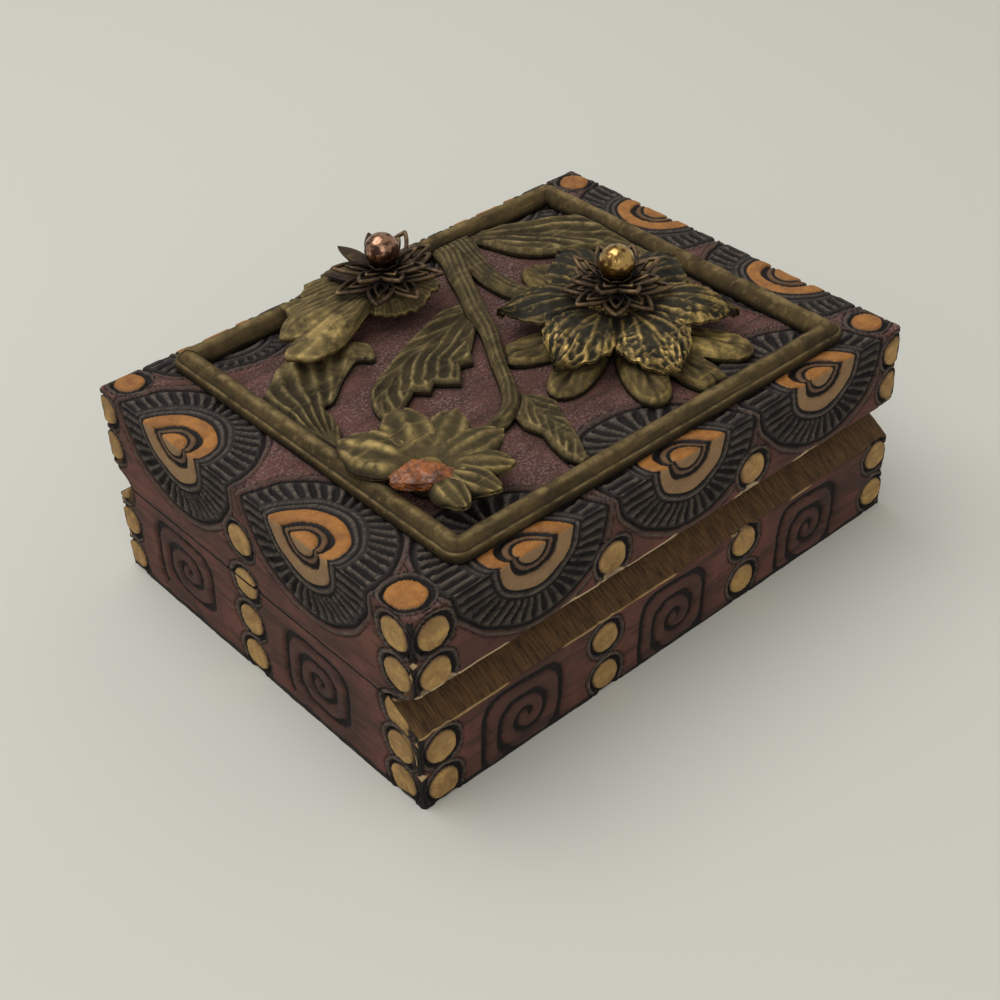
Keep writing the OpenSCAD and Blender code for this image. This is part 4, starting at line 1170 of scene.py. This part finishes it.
# Direction of each petal, its share of raised grain and painted highlight from 0 to 1, and the roll of its rim
FLOWER_PETALS = ((15, 0.35, 0.8), (75, 0.2, -1.0), (135, 0.05, 0.9), (195, 0.85, -0.9), (255, 1.0, 0.8),
                 (315, 0.8, -0.7))


def petal_half_width(t, peak=0.5, end=1.0, power=0.85):
    """Share of the full half width at t along a petal. It would come to a point at end."""
    rise = np.sqrt(np.clip(1 - (np.maximum(peak - t, 0) / (peak + 0.06)) ** 2, 0, 1))
    fall = np.clip(1 - (np.maximum(t - peak, 0) / (end - peak)) ** 2, 0, 1) ** power
    return rise * fall


def large_petal(turn, grain_and_highlight, roll, seed):
    """One stamped petal of the large flower, veined, toothed and bent down at its tip."""
    rng = np.random.default_rng(seed)
    reach = PETAL_REACH * rng.uniform(0.95, 1.0)
    droop = rng.uniform(3.2, 4.2)
    start = 3.0

    def points_of(t, s):
        teeth = 1 + 0.07 * np.abs(np.sin(math.pi * (t * 7 + 0.2 * s))) * smooth_step(t, 0.2, 0.4)
        half = PETAL_HALF_W * petal_half_width(t) * teeth
        x = start + (reach - start) * t * (1 - 0.05 * s * s)
        y = s * half
        spot = spots_of(x, y, seed)
        dome = 2.6 * np.sin(math.pi * np.clip(t * 0.9, 0, 1)) * (1 - np.abs(s) ** 2.2)
        crease = 0.5 * np.exp(-(s / 0.12) ** 2) * smooth_step(t, 0.1, 0.3)
        z = 1.0 + 1.5 * t - droop * t ** 2.4 + dome - crease + roll * s * t + 0.5 * (seed % 2) * t
        veins = 0.5 + 0.5 * np.cos(2 * math.pi * (np.abs(s) * 2.7 - t * 2.6 + 0.25))
        veins = veins ** 7 * smooth_step(np.abs(s), 0.08, 0.2) * smooth_step(t, 0.1, 0.3)
        rib = np.exp(-(s / 0.06) ** 2) * (1 - smooth_step(t, 0.75, 1.0))
        lifted = np.maximum(veins * (1 - smooth_step(np.abs(s), 0.85, 1.0)), rib)
        outer = np.maximum(smooth_step(np.abs(s), 0.3, 0.7), smooth_step(t, 0.6, 0.8))
        grains = np.clip(1.6 * wobble(spot, 1.3, seed + 5, 9), 0, 1) * outer
        grains = grains * smooth_step(t, 0.3, 0.6) * smooth_step(grain_and_highlight, 0.5, 0.9)
        z = z + 0.5 * lifted + 0.45 * grains + 0.08 * wobble(spot, 3, seed)
        thin = PETAL_T * (1 - 0.5 * np.abs(s) ** 6)
        upper = np.column_stack([x, y, z])
        lower = np.column_stack([x, y, z - thin])
        edge = np.maximum(smooth_step(np.abs(s), 0.88, 1.0), smooth_step(t, 0.93, 1))
        # lit is painted highlight and shade is painted shade; petals with a larger share of grain and highlight
        # get more of the one and less of the other
        lit = lifted * smooth_step(t, 0.05, 0.3) * (0.35 + 0.5 * grain_and_highlight)
        lit = lit + 0.95 * grains + edge * (0.3 + 0.5 * grain_and_highlight)
        shade = (0.75 - 0.4 * grain_and_highlight) * (1 - lifted) * (1 - edge) + 0.3 * (1 - smooth_step(t, 0.1, 0.4))
        return upper, lower, {"high": np.clip(lit, 0, 1), "dark": np.clip(shade - grains, 0, 0.9)}

    return placed(blade(points_of, 64, 45), turn, FLOWER_AT, PETALS_Z - 0.4)


# Direction, reach and half angle of the small flower's petals, which are this much narrower
SMALL_PETALS = ((114, 18.3, 24), (70, 18.3, 22), (33, 17.3, 20), (-6, 16.4, 20), (-42, 15.4, 19),
                (-74, 15.4, 17), (-104, 14.8, 16))
SMALL_PETAL_SHARE = 0.88
DAISY_TOP = node_box("daisy_post")[1][2]


def small_petal(turn, reach, half_angle, seed):
    """One petal of the small flower, with grooves along it and a split tip."""
    rng = np.random.default_rng(seed)
    start = 2.2
    half_w = reach * SMALL_PETAL_SHARE * math.tan(math.radians(half_angle))
    lift = rng.uniform(0.9, 1.6)

    def points_of(t, s):
        half = half_w * petal_half_width(t, 0.6, 1.06, 0.5)
        notch = 0.014 * np.cos(3 * math.pi * s)
        x = start + (reach - start) * t * (1 - 0.17 * s * s + notch * smooth_step(t, 0.7, 1))
        y = s * half
        spot = spots_of(x, y, seed)
        dome = 1.3 * np.sin(math.pi * np.clip(t * 0.92, 0, 1)) * (1 - 0.8 * s * s)
        z = 1.0 + lift * t - 1.1 * t * t + dome - 0.7 * s ** 4 * smooth_step(t, 0.1, 0.4)
        bent = s + 0.06 * wobble(spot, 7, seed + 3)
        ridges = (0.5 + 0.5 * np.cos(2 * math.pi * bent * 1.6)) ** 1.6 * smooth_step(t, 0.1, 0.35)
        ridges = ridges * (0.6 + 0.4 * smooth_step(wobble(spot, 5, seed + 4), -0.6, 0.3))
        z = z + 0.42 * ridges + 0.09 * wobble(spot, 2.4, seed)
        upper = np.column_stack([x, y, z])
        lower = np.column_stack([x, y, z - 0.8 * (1 - 0.5 * np.abs(s) ** 6)])
        tip = smooth_step(t, 0.9, 1)
        # the petal towards the back left gets a stronger painted highlight on its ridges
        lit = 0.7 * ridges + 0.5 * tip + (0.5 if turn > 100 else 0.0) * ridges
        shade = 0.4 * (1 - ridges) + 0.55 * smooth_step(np.abs(s), 0.72, 0.95) * (1 - tip)
        shade = shade * smooth_step(t, 0.1, 0.4)
        return upper, lower, {"high": np.clip(lit, 0, 1), "dark": np.clip(shade, 0, 1)}

    return placed(blade(points_of, 44, 33), turn, DAISY_AT, DAISY_TOP - 1.4)


# Lobes of the ruffled leaf: direction, reach and half angle
RUFFLE_LOBES = ((197, 32.3, 13), (180, 27, 15), (160, 22.5, 17), (138, 18, 19), (112, 15, 22), (76, 13, 24),
                (38, 12, 26), (0, 11.5, 26), (-38, 11.5, 24), (-72, 10.5, 22), (-106, 9.5, 20),
                (-136, 9.5, 20))
RUFFLE_INNER = 9.0
RUFFLE_HOLE_R = 1.2
RUFFLE_T = 0.9


def make_ruffled_leaf():
    """The leaf under the left star: a scalloped sheet with fine radial ribs and a wavy edge."""
    count, rings = 420, 46
    turn = full_turn(count)
    degrees = np.degrees(turn)
    reach = np.full(count, RUFFLE_INNER)
    lobe = np.zeros(count)
    for way, length, half in RUFFLE_LOBES:
        away = np.abs((degrees - way + 540) % 360 - 180)
        inside = np.clip(1 - (away / half) ** 2.6, 0, 1) ** 0.5
        reach = np.maximum(reach, RUFFLE_INNER + (length - RUFFLE_INNER) * inside)
        lobe = np.maximum(lobe, np.clip(1 - (away / half) ** 2, 0, 1))
    reach = reach * (1 - 0.05 * np.abs(np.sin(turn * 14)))
    share, angle = np.repeat(np.linspace(0.0, 1, rings), count), np.tile(turn, rings)
    r = RUFFLE_HOLE_R + (np.tile(reach, rings) - RUFFLE_HOLE_R) * share
    x, y = r * np.cos(angle), r * np.sin(angle)
    spot = spots_of(x, y)
    ribs =(0.5 + 0.5 * np.cos(angle * 58 + 1.2 * wobble(spot, 14, 91))) ** 2 * smooth_step(r, 5, 10)
    wave = 0.9 * wobble(np.column_stack([x, y]), 15, 92) * smooth_step(share, 0.35, 1)
    z = 1.0 - 1.5 * share ** 2 + 1.1 * np.tile(lobe, rings) * np.sin(math.pi * share) + wave
    z = np.clip(z + 0.2 * ribs + 0.06 * wobble(spot, 2.5, 93), -1.2, 3.2)
    base = node_box("star_sleeve")[1][2]
    upper = np.column_stack([x + STAR_AT[0], y + STAR_AT[1], z + base])
    lower = upper - np.array([0, 0, RUFFLE_T])
    total = rings * count
    quads, hole = ring_quads(rings, count), np.arange(count)
    edge = (rings - 1) * count + hole
    faces = np.concatenate([quads, quads[:, ::-1] + total, band(edge, edge + total),
                            band(hole, hole + total)[:, ::-1]])
    # painted highlight, also standing for rubbed wear, on the ribs and rim, and a brighter patch to the front
    # left; painted shade between the ribs
    gold_patch = np.exp(-((x + 20) ** 2 + (y + 7) ** 2) / 45)
    high = 0.25 * ribs + 0.6 * smooth_step(share, 0.94, 1) + 0.9 * gold_patch
    masks = {"high": np.clip(high, 0, 1), "dark": 0.2 * (1 - ribs) * smooth_step(r, 5, 10)}
    masks = {k: np.concatenate([v, v * 0.3]) for k, v in masks.items()}
    make_piece("stamped_ruffled_leaf", "ruffled_leaf", np.concatenate([upper, lower]), faces, masks,
               DAISY_BRASS, "petal_brass")


WIRE_R = 0.46
WIRE_SIDES = 8
# The hub ring of a star, and how far from the middle its loops and leaves start
HUB_R = 2.2
HUB_WIRE_R = 0.6
ROOT_R = 1.4
# Points along one wire loop
LOOP_POINTS = 40
# Profile of the cup under a bead, as radius and height, and the height of its foot
CUP_PROFILE = ((1.9, 0.0), (2.5, 0.6), (3.1, 1.3), (2.9, 1.35), (2.2, 0.7))
CUP_BASE = 0.2


def tube(path, radius):
    """Points and faces of a round wire along a closed path."""
    ahead = np.roll(path, -1, 0) - np.roll(path, 1, 0)
    ahead /= np.linalg.norm(ahead, axis=1)[:, None]
    side = np.cross(ahead, np.array([0, 0, 1.0]))
    side /= np.maximum(np.linalg.norm(side, axis=1), 1e-6)[:, None]
    over = np.cross(side, ahead)
    turn = full_turn(WIRE_SIDES)[None, :, None]
    rings = path[:, None, :] + radius * (side[:, None, :] * np.cos(turn) + over[:, None, :] * np.sin(turn))
    return rings.reshape(-1, 3), ring_quads(len(path), WIRE_SIDES, closed=True)


def star_loop(reach, half_width, lift, turn, seed):
    """One pointed wire loop; lift is the rise of its tip over its root."""
    rng = np.random.default_rng(seed)
    reach = reach * rng.uniform(0.93, 1.02)
    lift = lift + rng.uniform(-0.8, 0.8)
    turn = math.radians(turn + rng.uniform(-4, 4))
    u = full_turn(LOOP_POINTS)
    out = (1 - np.cos(u)) / 2
    x = ROOT_R + (reach - ROOT_R) * out
    # a teardrop: widest at two fifths of its reach, and pointed at its tip
    y = half_width * np.sign(np.sin(u)) * 2.9 * out ** 0.65 * (1 - out)
    z = lift * out ** 1.4 + 0.5 * np.sin(out * math.pi)
    # painted highlight, also standing for rubbed wear, towards each tip; painted shade near the root
    masks = {"high": np.repeat(0.3 + 0.5 * smooth_step(out, 0.6, 1.0), WIRE_SIDES),
             "dark": np.repeat(0.5 * (1 - smooth_step(out, 0.2, 0.7)), WIRE_SIDES)}
    wires = []
    # the loop, and a thinner and smaller one inside it
    for size in (1.0, 0.6):
        path = np.stack([*turned(x, y, turn), z], 1)
        wires.append((*tube(path, WIRE_R * (0.4 + 0.6 * size)), masks))
        x, y = 1.8 + (x - 1.8) * 0.68, y * 0.5
    return join_parts(wires)


def filled_leaf(reach, half_width, lift, turn):
    """One solid pointed leaf of a star."""
    turn = math.radians(turn)

    def points_of(t, s):
        half = half_width * np.sin(math.pi * np.clip(t, 0.02, 0.995)) ** 0.8
        x, y = ROOT_R + (reach - ROOT_R) * t, s * half
        z = lift * t ** 1.4 + 0.5 * np.sin(math.pi * t) - 0.5 * s * s * (1 - t) + 0.15
        spots = np.column_stack([*turned(x, y, turn), z])
        # painted highlight, also standing for rubbed wear, towards the edges; painted shade along the middle
        edge = smooth_step(np.abs(s), 0.6, 1)
        return spots, spots - np.array([0, 0, 0.45]), {"high": 0.5 * edge + 0.2, "dark": 0.3 * (1 - edge)}

    return blade(points_of, 18, 9)


def even_highlight_and_shade(points, faces, high, dark):
    """A part whose painted highlight and painted shade masks are the same all over."""
    return points, faces, {"high": np.full(len(points), high), "dark": np.full(len(points), dark)}


def bead_cup():
    """The small scalloped cup that a bead sits in, from the hub up."""
    turn = full_turn(48)
    scallop = 0.16 * np.abs(np.cos(4 * turn))
    rings = [np.stack([r * np.cos(turn), r * np.sin(turn), CUP_BASE + z + scallop * k], 1)
             for k, (r, z) in enumerate(CUP_PROFILE)]
    faces = ring_quads(len(rings), len(turn))[:, [0, 3, 2, 1]]
    # the cup gets painted highlight and a little painted shade
    return even_highlight_and_shade(np.concatenate(rings), faces, 0.5, 0.1)


def make_star(name, at, base, reach, half_width, lift, first_turn, seed, solid):
    """Eight loops round a hub, at the height base; loops in solid are filled leaves."""
    parts = [bead_cup()] if "upper" in name else []
    for k in range(8):
        turn = first_turn + 45 * k
        if k in solid:
            parts.append(filled_leaf(reach, half_width * 0.85, lift, turn))
        else:
            parts.append(star_loop(reach, half_width, lift, turn, seed + k))
    ring = full_turn(24)
    hub = spots_of(HUB_R * np.cos(ring), HUB_R * np.sin(ring))
    # the hub ring gets painted shade and some painted highlight
    parts.append(even_highlight_and_shade(*tube(hub, HUB_WIRE_R), 0.3, 0.4))
    points, faces, masks = join_parts(parts)
    make_piece("wire_" + name, name, points + np.array([*at, base]), faces, masks, WIRE_BRASS, "wire_brass")


# Of each star: its middle, its reach, and the numbers of its filled leaves in either layer
STARS = {"flower": (FLOWER_AT, 11.0, {"lower": (), "upper": ()}),
         "star": (STAR_AT, 12.2, {"lower": (1, 2, 3), "upper": (1, 2)})}
# Of each layer: its height over the foot of the CAD star, its share of the reach, the half width and
# lift of its loops, the direction of its first loop, and its seed
STAR_LAYERS = {"lower": (0.8, 1.0, 2.6, 0.8, 0, 300), "upper": (2.2, 0.86, 2.4, 3.0, 22.5, 340)}


def make_stars():
    for flower, (at, reach, solid) in STARS.items():
        for layer, (rise, share, *loops) in STAR_LAYERS.items():
            name = f"{flower}_{layer}_star"
            make_star(name, at, node_box(name)[0][2] + rise, reach * share, *loops, solid[layer])


def ball(node, slot, material, seed):
    """A polished bead with the faint dents of a drawn shell."""
    low, high = node_box(node)
    centre, radius = (low + high) / 2, (high[0] - low[0]) / 2
    centre[2] = high[2] - radius
    rows, columns = 40, 64
    way = ball_ways(0.02, math.pi - 0.02, rows, columns)
    r = radius - 0.03 * (1 + wobble(way * radius, 2.2, seed))
    points = centre + way * r[:, None]
    cap = np.arange(columns)
    faces = [*ring_quads(rows, columns).tolist(), cap.tolist(), ((rows - 1) * columns + cap)[::-1].tolist()]
    worn = np.clip(0.5 + 0.5 * wobble(way * radius, 2.6, seed + 1), 0, 1)
    make_piece("plated_" + node, node, points, faces, {"high": worn}, material, slot)


def bead_metal(name, light, deep, spots_from):
    """Polished plating with worn spots."""
    g = Graph(name)
    spots = g.range(g.noise(620, 4, 0.6), spots_from, spots_from + 0.14)
    g.set("Base Color", g.mix(spots, light, deep))
    g.set("Metallic", 1.0)
    g.set("Roughness", g.math("ADD", g.times(spots, 0.25), 0.14))
    g.set("Normal", g.bump(g.noise(500, 3, 0.5), 0.05, 0.5))
    return g.material


def make_disc():
    """The grained disc between the petals and the lower star."""
    low, high = node_box("flower_disc")
    radius = (high[0] - low[0]) / 2
    count, rings = 140, 40
    share, angle = np.repeat(np.linspace(0.02, 1, rings), count), np.tile(full_turn(count), rings)
    r = radius * share
    x, y = r * np.cos(angle), r * np.sin(angle)
    dome = (high[2] - low[2]) * np.sqrt(np.clip(1 - (share * 0.98) ** 4, 0, 1))
    grains = np.clip(wobble(spots_of(x, y), 1.0, 95, 10), 0, 1)
    z = low[2] + dome * 0.9 + 0.3 * grains - 0.2
    top = np.column_stack([x + FLOWER_AT[0], y + FLOWER_AT[1], z])
    foot = np.column_stack([top[-count:, :2], np.full(count, low[2])])
    middle = np.arange(count)
    edge, under = (rings - 1) * count + middle, rings * count + middle
    faces = [*ring_quads(rings, count).tolist(), *band(edge, under).tolist(), under[::-1].tolist(),
             middle.tolist()]
    # painted highlight, also standing for rubbed wear, on the grains; painted shade between them and all down
    # the disc's side
    masks = {"high": np.concatenate([grains, np.zeros(count)]),
             "dark": np.concatenate([0.5 * (1 - grains), np.ones(count)])}
    make_piece("grained_flower_disc", "flower_disc", np.concatenate([top, foot]), faces, masks, DISC_BRASS,
               "petal_brass")


def amber_glass():
    """Clouded amber, with painted shade in its hollows."""
    g = Graph("amber")
    clouds = g.range(g.noise(420, 5, 0.7, distortion=0.8), 0.40, 0.60)
    # painted shade: the hollows are darkened by ambient occlusion
    deep = g.range(g.hollow(0.9), 0.3, 0.9)
    glow = g.mix(clouds, AMBER_LIGHT, AMBER_DARK)
    g.set("Base Color", g.mix(deep, AMBER_IN_SHADE, glow))
    g.set("Roughness", g.range(g.noise(900, 3, 0.6), 0.3, 0.7, 0.08, 0.4))
    g.set("IOR", 1.54)
    g.set("Transmission Weight", 0.2)
    g.set("Subsurface Weight", 0.12)
    g.set("Subsurface Radius", (0.002, 0.0012, 0.0005))
    g.set("Normal", g.bump(g.noise(620, 5, 0.7), 0.25, 0.8))
    return g.material


AMBER_SQUASH = 0.5
AMBER_BREAKS = 46
# The lump is long one way: its direction from +X in degrees, and its stretch along and across
AMBER_TURN = -40
AMBER_STRETCH = (1.3, 0.86)


def make_amber():
    """A rough broken lump: a squashed ball cut by many flat breaks."""
    low, high = node_box("amber_cluster")
    centre, half = (low + high) / 2, (high - low) / 2
    centre[2], height = low[2], high[2] - low[2]
    rng = np.random.default_rng(17)
    rows, columns = 70, 120
    way = ball_ways(0.03, math.pi / 2, rows, columns)
    reach = np.full(len(way), 1.25)
    for _ in range(AMBER_BREAKS):
        normal = rng.normal(size=3)
        normal[2] = abs(normal[2]) * 0.8
        normal /= np.linalg.norm(normal)
        facing = way @ normal
        cut = rng.uniform(0.70, 1.0)
        reach = np.where(facing > 0.05, np.minimum(reach, cut / np.maximum(facing, 0.05)), reach)
    reach = reach * (1 + 0.04 * wobble(way, 0.8, 96) + 0.015 * wobble(way, 0.3, 99))
    offset = way * reach[:, None] * np.array([half[0], half[1], height * AMBER_SQUASH])
    turn = math.radians(AMBER_TURN)
    axes = np.array([[math.cos(turn), math.sin(turn)], [-math.sin(turn), math.cos(turn)]])
    offset[:, :2] = (offset[:, :2] @ axes.T * AMBER_STRETCH) @ axes
    points = centre + offset
    points[:, 2] = np.clip(points[:, 2], low[2], high[2])
    cap = np.arange(columns)
    faces = [*ring_quads(rows, columns).tolist(), ((rows - 1) * columns + cap)[::-1].tolist(), cap.tolist()]
    make_piece("rough_amber", "amber_cluster", points, faces, {}, amber_glass(), "amber", range(len(faces)))


GOLD_PLATING, GOLD_WORN = srgb(196, 160, 98), srgb(104, 76, 44)
COPPER_PLATING, COPPER_WORN = srgb(178, 136, 110), srgb(74, 52, 44)


def make_flowers():
    make_petals("flower_petals", large_petal, FLOWER_PETALS, 100, PETAL_BRASS)
    make_petals("daisy_petals", small_petal, SMALL_PETALS, 200, DAISY_BRASS)
    make_ruffled_leaf()
    make_stars()
    make_disc()
    make_amber()
    gold = bead_metal("gold_bead", GOLD_PLATING, GOLD_WORN, 0.48)
    copper = bead_metal("copper_bead", COPPER_PLATING, COPPER_WORN, 0.44)
    ball("flower_bead", "gold_bead", gold, 97)
    ball("star_bead", "copper_bead", copper, 98)


make_flowers()

# ---- CAD nodes that keep their shape -----------------------------------------------------------


def plain_wood():
    """Bare planed wood of the bottom board."""
    g = Graph("plain_wood")
    stretched = g.scaled((0.1, 1, 1))
    grain = g.range(g.noise(600, 5, 0.6, stretched, 0.4), 0.35, 0.65)
    g.set("Base Color", g.mix(grain, PLANED, PLANED_DARK))
    g.set("Roughness", 0.7)
    g.set("Normal", g.bump(g.noise(1800, 4, 0.6, stretched), 0.08, 0.6))
    return g.material


def dress_cad_nodes():
    """Planed wood on the bottom board, and brass on the hinges, posts, sleeves and nuts."""
    shown = {"bottom_board": plain_wood()}
    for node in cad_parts:
        if "hinge" in node or node.endswith(("_sleeve", "_post", "_nuts")):
            shown[node] = HINGE_BRASS
    for node, material in shown.items():
        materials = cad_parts[node].data.materials
        materials.clear()
        materials.append(material)


dress_cad_nodes()

# ---- stage -------------------------------------------------------------------------

FLOOR_COLOUR = srgb(208, 207, 199)
FLOOR_HALF_M = 3.0
BACKDROP_COLOUR = srgb(208, 207, 201)
BACKDROP_STRENGTH = 0.8
LAMP_SIZE_M = 0.9
# Place in metres and power in watts of each lamp
LAMPS = {"key": ((-0.2, 0.3, 0.9), 4.9), "fill": ((-0.6, -0.7, 0.7), 1.9)}


def make_stage():
    """A pale floor that keeps the shadow, soft lamps, and an even pale surround."""
    half = FLOOR_HALF_M
    mesh = bpy.data.meshes.new("floor")
    mesh.from_pydata([(-half, -half, 0), (half, -half, 0), (half, half, 0), (-half, half, 0)], [],
                     [(0, 1, 2, 3)])
    floor = bpy.data.objects.new("floor", mesh)
    bpy.context.scene.collection.objects.link(floor)
    g = Graph("floor")
    g.set("Base Color", FLOOR_COLOUR)
    g.set("Roughness", 0.9)
    mesh.materials.append(g.material)
    world = bpy.data.worlds.new("world")
    bpy.context.scene.world = world
    world.use_nodes = True
    background = world.node_tree.nodes["Background"]
    background.inputs[0].default_value = (*BACKDROP_COLOUR, 1)
    background.inputs[1].default_value = BACKDROP_STRENGTH
    for name, (place, power) in LAMPS.items():
        data = bpy.data.lights.new(name, "AREA")
        data.shape = "DISK"
        data.size = LAMP_SIZE_M
        data.energy = power
        lamp = bpy.data.objects.new(name, data)
        lamp.location = place
        lamp.rotation_euler = (-Vector(place)).to_track_quat("-Z", "Y").to_euler()
        bpy.context.scene.collection.objects.link(lamp)
    bpy.context.scene.view_settings.view_transform = "Standard"


make_stage()
